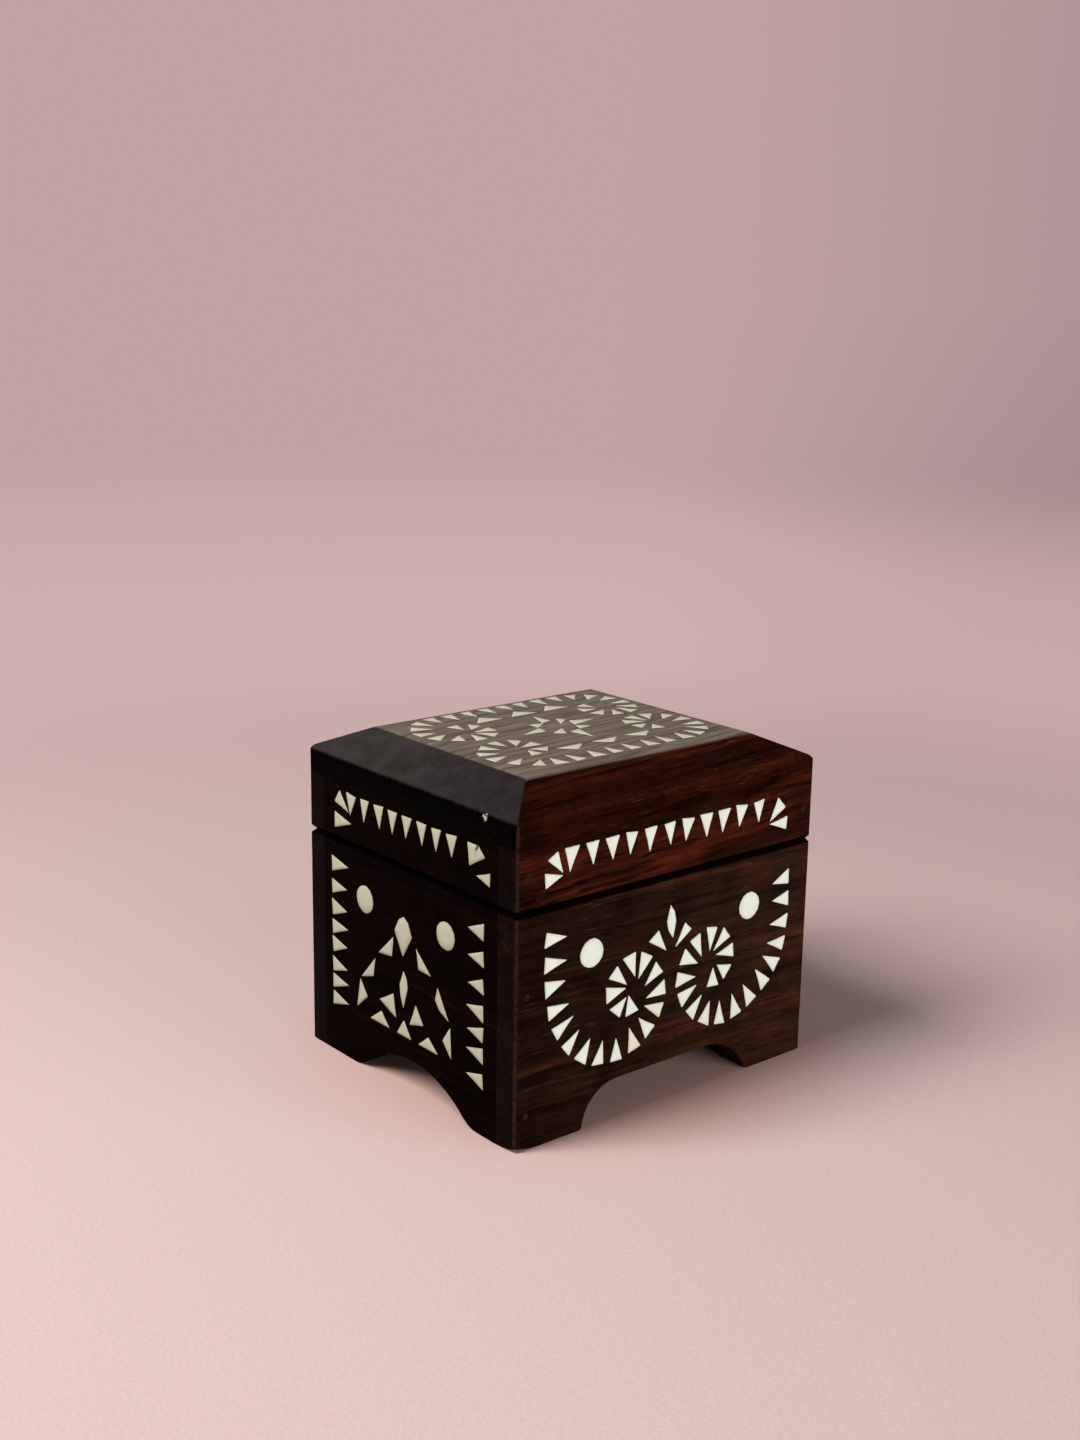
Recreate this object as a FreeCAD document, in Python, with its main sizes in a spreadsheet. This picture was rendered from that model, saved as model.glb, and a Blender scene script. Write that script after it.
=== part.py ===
import FreeCAD, Part
import math
import os
import random
import re

import Sketcher
from FreeCAD import Placement, Rotation, Vector

# Hinged wooden box with inlay of small hand-cut pieces.
# Millimetres. X runs along the front from left to right, Y to the back, Z up.
# The origin is the middle of the footprint, on the surface that the feet stand on.

SIZES = (
    ("box_width", 102.0, "outside width along X"),
    ("box_depth", 89.0, "outside depth along Y"),
    ("seam_height", 61.0, "height of the body, where the lid rests on it"),
    ("rail_height", 16.0, "height of the four rails of the lid"),
    ("rim_height", 6.8, "upright edge of the top board under its bevel"),
    ("bevel_height", 6.2, "rise of the bevel of the top board"),
    ("bevel_run", 13.2, "inward run of the bevel of the top board"),
    ("bevel_round", 4.0, "rounding where the bevel meets the flat top"),
    ("rim_round", 3.0, "rounding where the bevel meets the rim"),
    ("wall", 7.0, "thickness of the panels and rails"),
    ("edge_round", 1.1, "rounding of the upright outer corners"),
    ("foot_wear", 6.0, "how far the worn corner of the front left foot reaches in"),
    ("foot_soften", 2.5, "how far the corners of the other feet are worn"),
    ("wear_radius", 14.0, "radius of the worn corners, seen from the side"),
    ("wear_span", 40.0, "length of the tool that wears a corner"),
    ("seam_chamfer", 1.0, "chamfer of the seam on the front and the sides"),
    ("back_chamfer", 1.9, "chamfer of the seam on the back, which stops the open lid"),
    ("front_arch_width", 58.6, "width of the cut-out between the front feet"),
    ("front_arch_height", 10.8, "height of the cut-out between the front feet"),
    ("front_arch_left", 11.5, "radius of the arc at its left end"),
    ("front_arch_right", 17.5, "radius of the flatter arc at its right end"),
    ("toe_round", 1.0, "rounding of the feet where the front cut-out starts"),
    ("side_arch_radius", 33.7, "radius of the arched cut-out in a side panel"),
    ("side_arch_height", 9.5, "height of the arched cut-out in a side panel"),
    ("side_arch_shift", 3.0, "how far its middle lies in front of the box's middle"),
    ("side_toe_round", 10.0, "soft run-out of the arched cut-out into the feet"),
    ("board_level", 14.0, "height of the underside of the bottom board"),
    ("board_thickness", 6.0, "thickness of the bottom board"),
    ("block_size", 14.0, "width and depth of the glue blocks in the corners under the board"),
    ("block_lift", 0.8, "height of the glue blocks over the floor"),
    ("board_tongue", 2.0, "how far the bottom board is let into the side panels"),
    ("lining_thickness", 1.0, "thickness of the felt linings"),
    ("lining_margin", 0.5, "gap between a lining and the walls"),
    ("inlay_thickness", 1.0, "thickness of the inlay pieces"),
    ("glue_gap", 0.05, "gap round an inlay piece in its pocket"),
    ("tooth_width", 4.5, "base of an inlay triangle"),
    ("tooth_length", 6.9, "height of an inlay triangle"),
    ("dot_diameter", 7.7, "diameter of an inlay dot"),
    ("nail_radius", 0.9, "radius of a panel nail"),
    ("nail_length", 16.0, "length of a panel nail"),
    ("low_nail", 9.0, "height of the lower nails of the body panels"),
    ("high_nail", 40.0, "height of the upper nails of the body panels"),
    ("lid_nail", 9.0, "height of the nails of the lid over the seam"),
    ("board_nail_shift", 2.0, "distance of the bottom board's nails from the middle"),
    ("hinge_place", 26.0, "distance of each hinge from the middle"),
    ("leaf_length", 20.0, "length of a hinge along its pin"),
    ("leaf_margin", 0.2, "wood left between a hinge leaf and the inside of the wall"),
    ("leaf_thickness", 0.8, "thickness of a hinge leaf"),
    ("barrel_radius", 1.6, "outer radius of the hinge knuckles"),
    ("pin_radius", 0.7, "radius of the hinge pin"),
    ("pin_gap", 0.05, "running clearance round the pin"),
    ("knuckle_length", 6.8, "length of the middle knuckle"),
    ("knuckle_gap", 0.15, "end clearance between knuckles"),
    ("barrel_gap", 0.3, "clearance of the knuckles in the wood"),
    ("screw_place", 6.0, "distance of a hinge screw from the hinge's middle"),
    ("screw_head", 1.1, "radius of a screw head"),
    ("screw_shank", 0.6, "radius of a screw shank"),
    ("screw_depth", 6.0, "length of a screw"),
    ("screw_tip", 1.0, "length of a screw's point"),
    ("screw_end", 0.1, "radius of the end of a screw's point"),
    ("slot_size", 0.3, "width and depth of the slot in a screw head"),
    ("fit_gap", 0.03, "clearance of nails and screws in their holes"),
    ("spare", 1.0, "how far a cutter runs past the wood"),
)

document = FreeCAD.newDocument("InlaidBox")
sheet = document.addObject("Spreadsheet::Sheet", "Sizes")
for row, (alias, value, meaning) in enumerate(SIZES, start=1):
    sheet.set("A%d" % row, meaning)
    sheet.set("B%d" % row, str(value))
    sheet.setAlias("B%d" % row, alias)
document.recompute()

nodes = []

STRAIGHT = 0.999  # how well an edge has to follow an axis to run along it
CLOSE = 0.01  # lengths that differ by less are the same


def size(alias):
    """The value of one cell of the sheet."""
    return float(sheet.get(alias))


def bound(formula):
    """A formula in sheet aliases, written out as a FreeCAD expression."""
    return re.sub(r"[a-z][a-z_]+", lambda match: "Sizes." + match.group(0), str(formula))


def bind(item, **formulas):
    """Bind properties of an object to formulas; 'x', 'y' and 'z' place it."""
    for name, formula in formulas.items():
        path = "Placement.Base." + name if name in ("x", "y", "z") else name
        item.setExpression(path, bound(formula))


def keep(item, name):
    """Name a finished piece and list it for the export."""
    item.Label = name
    nodes.append(item)
    return item


# ---------------------------------------------------------------- solids and sketches


def box(name, length, width, height, x, y, z):
    """A block between a corner and the sizes given as formulas."""
    item = document.addObject("Part::Box", name)
    bind(item, Length=length, Width=width, Height=height, x=x, y=y, z=z)
    return item


def cylinder(name, radius, height, x, y, z, turn=Rotation()):
    """A cylinder that starts at a place and runs along the turned Z axis."""
    item = document.addObject("Part::Cylinder", name)
    item.Placement = Placement(Vector(), turn)
    bind(item, Radius=radius, Height=height, x=x, y=y, z=z)
    return item


def cone(name, radius, end_radius, height, x, y, z, turn=Rotation()):
    """A cone that starts at a place and runs along the turned Z axis."""
    item = document.addObject("Part::Cone", name)
    item.Placement = Placement(Vector(), turn)
    bind(item, Radius1=radius, Radius2=end_radius, Height=height, x=x, y=y, z=z)
    return item


def together(name, items):
    """Several separate solids as one object."""
    item = document.addObject("Part::Compound", name)
    item.Links = items
    return item


def fused(name, items):
    """Several overlapping solids joined into one."""
    item = document.addObject("Part::MultiFuse", name)
    item.Shapes = items
    item.Refine = True
    return item


def carved(name, blank, cutters):
    """A blank with every cutter taken away from it."""
    item = document.addObject("Part::Cut", name)
    item.Base = blank
    item.Tool = together(name + "_cutters", cutters)
    return item


def new_sketch(body, name, role):
    """A sketch on one of the body's own origin planes."""
    sketch = body.newObject("Sketcher::SketchObject", name)
    plane = next(item for item in body.Origin.OriginFeatures if item.Role == role)
    sketch.AttachmentSupport = [(plane, "")]
    sketch.MapMode = "FlatFace"
    return sketch


def dimension(sketch, name, formula, *constraint, start=1.0):
    """A named driving dimension of a sketch, bound to the sheet; start is its first value."""
    index = sketch.addConstraint(Sketcher.Constraint(*constraint, start))
    sketch.renameConstraint(index, name)
    sketch.setExpression("Constraints." + name, bound(formula))


def rectangle(body, name, role, width, height):
    """A rectangle that stands on the sketch's X axis, centred on its Y axis."""
    sketch = new_sketch(body, name, role)
    corners = [Vector(-10, 0), Vector(10, 0), Vector(10, 10), Vector(-10, 10)]
    for start, end in zip(corners, corners[1:] + corners[:1]):
        sketch.addGeometry(Part.LineSegment(start, end))
    for line in range(4):
        sketch.addConstraint(Sketcher.Constraint("Coincident", line, 2, (line + 1) % 4, 1))
    for line, direction in ((1, "Vertical"), (2, "Horizontal"), (3, "Vertical")):
        sketch.addConstraint(Sketcher.Constraint(direction, line))
    sketch.addConstraint(Sketcher.Constraint("PointOnObject", 0, 1, -1))
    sketch.addConstraint(Sketcher.Constraint("Symmetric", 0, 1, 0, 2, -2))
    dimension(sketch, "width", width, "DistanceX", 0, 1, 0, 2)
    dimension(sketch, "height", height, "DistanceY", 1, 1, 1, 2)
    return sketch


def arch_outline(body, name):
    """A flat top that runs down in an arc at each end, closed along the floor."""
    sketch = new_sketch(body, name, "XZ_Plane")
    half = size("front_arch_width") / 2
    top = size("front_arch_height")

    def arc(alias, side):
        """The arc at one end, already in its place, so that the constraints only hold it."""
        radius = size(alias)
        drop = radius - top
        run = math.sqrt(radius ** 2 - drop ** 2)
        circle = Part.Circle(Vector(side * (half - run), -drop), Vector(0, 0, 1), radius)
        low = math.atan2(drop, run)
        span = (low, math.pi / 2) if side > 0 else (math.pi / 2, math.pi - low)
        return Part.ArcOfCircle(circle, *span)

    right = arc("front_arch_right", 1)
    left = arc("front_arch_left", -1)
    sketch.addGeometry(Part.LineSegment(left.StartPoint, right.EndPoint))
    sketch.addGeometry(right)
    sketch.addGeometry(Part.LineSegment(left.EndPoint, right.StartPoint))
    sketch.addGeometry(left)
    for constraint in (("Horizontal", 0), ("Tangent", 0, 2, 1, 2), ("Tangent", 0, 1, 3, 1),
                       ("Coincident", 2, 2, 1, 1), ("Coincident", 2, 1, 3, 2),
                       ("PointOnObject", 2, 1, -1), ("Symmetric", 2, 1, 2, 2, -2)):
        sketch.addConstraint(Sketcher.Constraint(*constraint))
    for alias, constraint in (("front_arch_width", ("DistanceX", 2, 1, 2, 2)),
                              ("front_arch_height", ("DistanceY", 2, 1, 0, 1)),
                              ("front_arch_right", ("Radius", 1)),
                              ("front_arch_left", ("Radius", 3))):
        dimension(sketch, alias, alias, *constraint, start=size(alias))
    return sketch


def feature(body, kind, name, **values):
    """A PartDesign feature; values that are text are formulas, the rest is set as it is."""
    item = body.newObject("PartDesign::" + kind, name)
    for key, value in values.items():
        if isinstance(value, str) and key not in ("Type", "SideType", "ChamferType"):
            item.setExpression(key, bound(value))
        else:
            setattr(item, key, value)
    document.recompute()
    return item


def edges(item, chosen):
    """The object with the names of those of its edges whose middle point is chosen."""
    names = []
    for number, edge in enumerate(item.Shape.Edges, start=1):
        middle = edge.valueAt((edge.FirstParameter + edge.LastParameter) / 2)
        if chosen(middle, edge):
            names.append("Edge%d" % number)
    return (item, names)


def runs_along(edge, axis):
    """Whether an edge is straight and parallel to an axis."""
    return edge.Curve.TypeId == "Part::GeomLine" and abs(edge.Curve.Direction.dot(axis)) > STRAIGHT


def near(value, target):
    """Whether two lengths are the same."""
    return abs(value - target) < CLOSE


# ---------------------------------------------------------------- walls of body and lid


def long_wall(name, height, base, outward, arched, seam_at_top):
    """A front or back wall over the full width; outward is -1 at the front, 1 at the back."""
    body = document.addObject("PartDesign::Body", name + "_blank")
    outline = rectangle(body, name + "_outline", "XZ_Plane", "box_width", height)
    solid = feature(body, "Pad", name + "_pad", Profile=outline, Length="wall")
    outer = -size("wall") if outward < 0 else 0.0
    half = size("box_width") / 2
    seam = solid.Shape.BoundBox.ZMax if seam_at_top else 0.0
    if arched:
        arch = arch_outline(body, name + "_arch")
        solid = feature(body, "Pocket", name + "_arch_cut", Profile=arch, Type="ThroughAll",
                        SideType="Symmetric")
        toes = edges(solid, lambda point, edge: runs_along(edge, Vector(0, 1, 0))
                     and near(point.z, 0) and abs(point.x) < half - size("spare"))
        solid = feature(body, "Fillet", name + "_toes", Base=toes, Radius="toe_round")
    upright = edges(solid, lambda point, edge: runs_along(edge, Vector(0, 0, 1))
                    and near(point.y, outer) and near(abs(point.x), half))
    solid = feature(body, "Fillet", name + "_uprights", Base=upright, Radius="edge_round")
    seam_edge = edges(solid, lambda point, edge: near(point.z, seam) and near(point.y, outer)
                      and runs_along(edge, Vector(1, 0, 0)))
    feature(body, "Chamfer", name + "_seam", Base=seam_edge, Size="seam_chamfer")
    bind(body, y="-box_depth / 2 + wall" if outward < 0 else "box_depth / 2", z=base)
    return body


def side_wall(name, height, base, outward, arched, seam_at_top):
    """A side wall between the front and back walls; outward is -1 at the left, 1 at the right."""
    body = document.addObject("PartDesign::Body", name + "_blank")
    outline = rectangle(body, name + "_outline", "YZ_Plane", "box_depth - 2 * wall", height)
    solid = feature(body, "Pad", name + "_pad", Profile=outline, Length="wall")
    outer = 0.0 if outward < 0 else size("wall")
    if arched:
        arch = new_sketch(body, name + "_arch", "YZ_Plane")
        arch.addGeometry(Part.Circle(Vector(-1, -20), Vector(0, 0, 1), 20))
        dimension(arch, "radius", "side_arch_radius", "Radius", 0)
        dimension(arch, "drop", "side_arch_radius - side_arch_height", "DistanceY", 0, 3, -1, 1)
        dimension(arch, "shift", "side_arch_shift", "DistanceX", 0, 3, -1, 1)
        solid = feature(body, "Pocket", name + "_arch_cut", Profile=arch, Type="ThroughAll",
                        SideType="Symmetric")
        ends = size("box_depth") / 2 - size("wall")
        toes = edges(solid, lambda point, edge: runs_along(edge, Vector(1, 0, 0))
                     and near(point.z, 0) and abs(point.y) < ends - size("spare"))
        solid = feature(body, "Fillet", name + "_toes", Base=toes, Radius="side_toe_round")
    seam = solid.Shape.BoundBox.ZMax if seam_at_top else 0.0
    seam_edge = edges(solid, lambda point, edge: near(point.z, seam) and near(point.x, outer))
    feature(body, "Chamfer", name + "_seam", Base=seam_edge, Size="seam_chamfer")
    bind(body, x="-box_width / 2" if outward < 0 else "box_width / 2 - wall", z=base)
    return body


def worn_corner(name, across, along, reach):
    """Takes the bottom corner off a foot with a curve; across and along are -1 or 1."""
    outward = math.degrees(math.atan2(along, across))

    def beside(half_span):
        """The formulas of the two ends' places, half a span to the side of the diagonal."""
        share = math.sqrt(0.5)
        x = "%d * (box_width / 2 - %s * %.5f) + %d * (%s) * %.5f"
        y = "%d * (box_depth / 2 - %s * %.5f) - %d * (%s) * %.5f"
        return (x % (across, reach, share, along, half_span, share),
                y % (along, reach, share, across, half_span, share))

    block = document.addObject("Part::Box", name + "_block")
    block.Placement = Placement(Vector(), Rotation(Vector(0, 0, 1), outward))
    x, y = beside("wear_span / 2")
    bind(block, Length=reach + " + spare", Width="wear_span", Height=reach, x=x, y=y,
         z="-fit_gap")
    turn = Rotation(Vector(0, 0, 1), outward + 90) * Rotation(Vector(0, 1, 0), 90)
    x, y = beside("wear_span / 2 + spare")
    roller = cylinder(name + "_roller", "wear_radius", "wear_span + 2 * spare", x, y,
                      "wear_radius", turn)
    return carved(name, block, [roller])


def slant(name, upward):
    """A long block that cuts the wider chamfer of the back seam, below or above the seam."""
    item = document.addObject("Part::Box", name)
    item.Placement = Placement(Vector(), Rotation(Vector(1, 0, 0), -45 if upward else -135))
    bind(item, Length="box_width + 2 * spare", Height="back_chamfer + 2 * spare",
         Width="(back_chamfer + 2 * spare) * %.5f" % math.sqrt(2),
         x="-box_width / 2 - spare",
         y="box_depth / 2 - back_chamfer - spare" if upward else "box_depth / 2 + spare",
         z="seam_height + spare" if upward else "seam_height + back_chamfer + spare")
    return item


# ---------------------------------------------------------------- hinges, screws and nails

ALONG_X = Rotation(Vector(0, 1, 0), 90)
INTO_FRONT = Rotation(Vector(1, 0, 0), -90)
INTO_BACK = Rotation(Vector(1, 0, 0), 90)
UPSIDE_DOWN = Rotation(Vector(1, 0, 0), 180)
AXIS_Y = "box_depth / 2 - barrel_radius"
LEAF_REACH = "(wall - barrel_radius - leaf_margin)"
SCREW_INSET = "(wall - leaf_margin) / 2"
NAIL_LEVELS = ("low_nail", "high_nail")


def hinge_middle(side):
    """The formula of the middle of a hinge along X."""
    return "%d * hinge_place" % side


def barrel_bed(name, side):
    """The room in the wood for the knuckles of a hinge."""
    return cylinder(name, "barrel_radius + barrel_gap", "leaf_length + 2 * barrel_gap",
                    hinge_middle(side) + " - leaf_length / 2 - barrel_gap",
                    AXIS_Y, "seam_height", ALONG_X)


def leaf_plate(name, side, level, margin="0"):
    """The flat plate of a hinge leaf, or its recess in the wood with a margin round it."""
    return box(name, "leaf_length + 2 * " + margin, "%s + %s" % (LEAF_REACH, margin),
               "leaf_thickness", "%s - leaf_length / 2 - %s" % (hinge_middle(side), margin),
               "%s - %s - %s" % (AXIS_Y, LEAF_REACH, margin), level)


def knuckle(name, side, start, length):
    """One knuckle of a hinge; start is counted from the hinge's middle."""
    return cylinder(name, "barrel_radius", length, "%s + %s" % (hinge_middle(side), start),
                    AXIS_Y, "seam_height", ALONG_X)


def knuckle_room(name, side, start, length):
    """The notch that one leaf leaves for a knuckle of the other."""
    return box(name, length, "2 * (barrel_radius + barrel_gap)", "4 * barrel_radius",
               "%s + %s" % (hinge_middle(side), start),
               AXIS_Y + " - barrel_radius - barrel_gap", "seam_height - 2 * barrel_radius")


def screw_spots(side):
    """The formulas of the places of the two screws of a leaf along X."""
    return ["%s + %d * screw_place" % (hinge_middle(side), place) for place in (-1, 1)]


def screw(name, x, gap, downward):
    """A countersunk screw with a slot, or, with a gap, the hole it goes in."""
    turn = UPSIDE_DOWN if downward else Rotation()
    way = -1 if downward else 1
    y = "%s - %s" % (AXIS_Y, SCREW_INSET)
    level = "seam_height"
    head = cone(name + "_head", "screw_head + " + gap, "screw_shank + " + gap,
                "leaf_thickness", x, y, level, turn)
    shank = cylinder(name + "_shank", "screw_shank + " + gap,
                     "screw_depth - screw_tip + " + gap, x, y, level, turn)
    tip = cone(name + "_tip", "screw_shank + " + gap, "screw_end + " + gap, "screw_tip", x, y,
               "%s + %d * (screw_depth - screw_tip + %s)" % (level, way, gap), turn)
    solid = fused(name + "_solid", [head, shank, tip])
    if gap != "0":
        return solid
    slot = box(name + "_slot", "2 * (screw_head + spare)", "slot_size", "2 * slot_size",
               x + " - screw_head - spare", y + " - slot_size / 2", level + " - slot_size")
    return carved(name, solid, [slot])


def nail(name, x, z, gap, outward):
    """A round nail driven in from the front or the back, or its hole."""
    y = "%d * box_depth / 2" % outward
    return cylinder(name, "nail_radius + " + gap, "nail_length + " + gap, x, y, z,
                    INTO_FRONT if outward < 0 else INTO_BACK)


def board_nail_spot(outward):
    """The nail that goes through the front or back panel into the bottom board."""
    return "%d * board_nail_shift" % -outward, "board_level + board_thickness / 2"


def body_nail_spots(outward):
    """Nails of a body panel: two into each side panel and one into the bottom board."""
    spots = [("%d * (box_width - wall) / 2" % side, level)
             for side in (-1, 1) for level in NAIL_LEVELS]
    return spots + [board_nail_spot(outward)]


def lid_nail_spots():
    """Nails of a lid rail: one into each side rail."""
    return [("%d * (box_width - wall) / 2" % side, "seam_height + lid_nail") for side in (-1, 1)]


def nails(name, spots, outward):
    """A group of nails and the group of their holes."""
    driven = [nail("%s_%d" % (name, index), x, z, "0", outward)
              for index, (x, z) in enumerate(spots, start=1)]
    holes = [nail("%s_hole_%d" % (name, index), x, z, "fit_gap", outward)
             for index, (x, z) in enumerate(spots, start=1)]
    keep(together(name, driven), name)
    return holes


def hinge_leaf(side, name, on_lid):
    """A brass leaf: the lid's has the middle knuckle, the body's the two outer ones."""
    half = "knuckle_length / 2"
    outer = "(leaf_length - knuckle_length) / 2 - knuckle_gap"
    level = "seam_height" if on_lid else "seam_height - leaf_thickness"
    plate = leaf_plate(name + "_plate", side, level)
    middle = ("-" + half, "knuckle_length")
    left = ("-leaf_length / 2", outer)
    right = (half + " + knuckle_gap", outer)
    wide_middle = ("-%s - knuckle_gap" % half, "knuckle_length + 2 * knuckle_gap")
    wide_left = ("-leaf_length / 2 - spare", outer + " + spare + knuckle_gap")
    wide_right = (half, outer + " + spare + knuckle_gap")
    own = [middle] if on_lid else [left, right]
    others = [wide_left, wide_right] if on_lid else [wide_middle]
    rooms = [knuckle_room("%s_room_%d" % (name, index), side, *span)
             for index, span in enumerate(others)]
    barrels = [knuckle("%s_knuckle_%d" % (name, index), side, *span)
               for index, span in enumerate(own)]
    blank = fused(name + "_blank", [carved(name + "_cut_plate", plate, rooms)] + barrels)
    gap = "pin_gap" if on_lid else "fit_gap"
    bore = cylinder(name + "_bore", "pin_radius + " + gap, "leaf_length + 2 * spare",
                    hinge_middle(side) + " - leaf_length / 2 - spare", AXIS_Y, "seam_height",
                    ALONG_X)
    holes = [screw("%s_hole_%d" % (name, index), x, "fit_gap", not on_lid)
             for index, x in enumerate(screw_spots(side))]
    return keep(carved(name, blank, [bore] + holes), name)


def hinge(side, name):
    """A butt hinge: two leaves and the pin they turn on."""
    hinge_leaf(side, name + "_body_leaf", False)
    hinge_leaf(side, name + "_lid_leaf", True)
    keep(cylinder(name + "_pin", "pin_radius", "leaf_length",
                  hinge_middle(side) + " - leaf_length / 2", AXIS_Y, "seam_height", ALONG_X),
         name + "_pin")


def hinge_screws(name, downward):
    """The four screws of the body leaves or of the lid leaves."""
    screws = []
    for side in (-1, 1):
        for index, x in enumerate(screw_spots(side)):
            screws.append(screw("%s_%d_%d" % (name, side + 1, index), x, "0", downward))
    keep(together(name, screws), name)


def hinge_beds(name, on_lid):
    """Everything that the two hinges need cut out of the wood they are sunk in."""
    cutters = []
    for side in (-1, 1):
        label = "%s_%d" % (name, side + 1)
        level = "seam_height" if on_lid else "seam_height - leaf_thickness"
        cutters.append(barrel_bed(label + "_barrel", side))
        cutters.append(leaf_plate(label + "_recess", side, level, "fit_gap"))
        for index, x in enumerate(screw_spots(side)):
            cutters.append(screw("%s_screw_%d" % (label, index), x, "fit_gap", not on_lid))
    return cutters


# ---------------------------------------------------------------- inlay

# The faces that the layouts are drawn for, width and height. On a face of another size
# the whole layout stretches with it.
DRAWN_LONG = (102.0, 61.0)
DRAWN_SIDE = (89.0, 61.0)
DRAWN_LONG_RAIL = (102.0, 16.0)
DRAWN_SIDE_RAIL = (89.0, 16.0)
DRAWN_TOP = (75.6, 62.6)
DRAWN_TOOTH = 6.9  # tooth length that the scrolls are drawn for

# How unevenly the pieces are cut by hand.
WIDTH_SPREAD = 0.09
LENGTH_SPREAD = 0.06
TURN_SPREAD = 4.0
TIP_SPREAD = 0.6
BASE_SPREAD = 0.25
DOT_SPREAD = (0.975, 1.02)
DOT_FLATS = 14
POCKET_RISE = 0.5  # how far the cutter of a pocket stands out of the face


class Face:
    """An outside face with its own flat coordinates, u to the right and v up or back."""

    def __init__(self, middle, right, up, extent, drawn):
        """Keep the face's zero point, its directions and its size against the drawn one."""
        self.middle = middle
        self.right = right
        self.up = up
        self.outward = right.cross(up)
        self.stretch = (extent[0] / drawn[0], extent[1] / drawn[1])

    def place(self, u, v, above=0.0):
        """The point of space over (u, v) of the drawn layout, a distance above the face."""
        return (self.middle + self.right * u * self.stretch[0] + self.up * v * self.stretch[1]
                + self.outward * above)


def faces():
    """The decorated faces of the box by name."""
    width = size("box_width")
    depth = size("box_depth")
    seam = size("seam_height")
    rail = size("rail_height")
    top = seam + rail + size("rim_height") + size("bevel_height")
    flat = (width - 2 * size("bevel_run"), depth - 2 * size("bevel_run"))
    up = Vector(0, 0, 1)
    sides = {
        "front": (Vector(0, -depth / 2, 0), Vector(1, 0, 0), width, DRAWN_LONG, DRAWN_LONG_RAIL),
        "back": (Vector(0, depth / 2, 0), Vector(-1, 0, 0), width, DRAWN_LONG, DRAWN_LONG_RAIL),
        "left": (Vector(-width / 2, 0, 0), Vector(0, -1, 0), depth, DRAWN_SIDE, DRAWN_SIDE_RAIL),
        "right": (Vector(width / 2, 0, 0), Vector(0, 1, 0), depth, DRAWN_SIDE, DRAWN_SIDE_RAIL),
    }
    found = {"top": Face(Vector(0, 0, top), Vector(1, 0, 0), Vector(0, 1, 0), flat, DRAWN_TOP)}
    for place, (middle, right, extent, drawn, drawn_rail) in sides.items():
        found[place] = Face(middle, right, up, (extent, seam), drawn)
        found["lid_" + place] = Face(middle + up * seam, right, up, (extent, rail), drawn_rail)
    return found


def tooth(base, toward, chance, width=None, length=None):
    """A hand-cut triangle: middle of its base, angle of its tip, slightly uneven."""
    width = (width or size("tooth_width")) * (1 + chance.uniform(-WIDTH_SPREAD, WIDTH_SPREAD))
    length = (length or size("tooth_length")) * (1 + chance.uniform(-LENGTH_SPREAD,
                                                                    LENGTH_SPREAD))
    angle = math.radians(toward + chance.uniform(-TURN_SPREAD, TURN_SPREAD))
    ahead = (math.cos(angle), math.sin(angle))
    aside = (-ahead[1], ahead[0])
    lean = chance.uniform(-TIP_SPREAD, TIP_SPREAD)
    skew = chance.uniform(-BASE_SPREAD, BASE_SPREAD)

    def corner(forward, sideways):
        """The point a distance ahead of the base's middle and to its left."""
        return (base[0] + ahead[0] * forward + aside[0] * sideways,
                base[1] + ahead[1] * forward + aside[1] * sideways)

    return [corner(skew, -width / 2), corner(length, lean), corner(-skew, width / 2)]


def row(start, end, count, toward, chance, width=None, length=None):
    """Teeth at even steps on a straight line, all pointing the same way."""
    steps = [index / (count - 1) for index in range(count)]
    return [tooth((start[0] + (end[0] - start[0]) * step, start[1] + (end[1] - start[1]) * step),
                  toward, chance, width, length) for step in steps]


def column(u, levels, toward, chance, length=None):
    """Teeth above each other at the given levels, all pointing the same way."""
    return [tooth((u, level), toward, chance, length=length) for level in levels]


def scroll(points, count, turn, chance, width=None, length=None):
    """Teeth at even steps on a smooth curve, pointing to its left (turn 90) or right (-90).

    The last few are cut shorter, because they meet in the middle of the spiral. A longer
    tooth than the drawn one grows from its base outward, so the tips stay clear.
    """
    curve = Part.BSplineCurve()
    curve.interpolate([Vector(u, v, 0) for u, v in points])
    total = curve.length()
    growth = 0.0 if length else size("tooth_length") - DRAWN_TOOTH
    pieces = []
    for index in range(count):
        place = curve.parameterAtDistance(total * index / (count - 1), curve.FirstParameter)
        spot = curve.value(place)
        ahead = curve.tangent(place)[0]
        toward = math.atan2(ahead.y, ahead.x) + math.radians(turn)
        share = SHORT_SHARE if index >= count - SHORT_TEETH else 1.0
        base = (spot.x - growth * share * math.cos(toward),
                spot.y - growth * share * math.sin(toward))
        reach = (length or size("tooth_length")) * share
        pieces.append(tooth(base, math.degrees(toward), chance, width, reach))
    return pieces


def dot(u, v, chance):
    """A round piece filed from a block, with faint flats round its edge."""
    radius = size("dot_diameter") / 2
    angles = [2 * math.pi * index / DOT_FLATS for index in range(DOT_FLATS)]
    return [(u + radius * chance.uniform(*DOT_SPREAD) * math.cos(angle),
             v + radius * chance.uniform(*DOT_SPREAD) * math.sin(angle)) for angle in angles]


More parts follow.
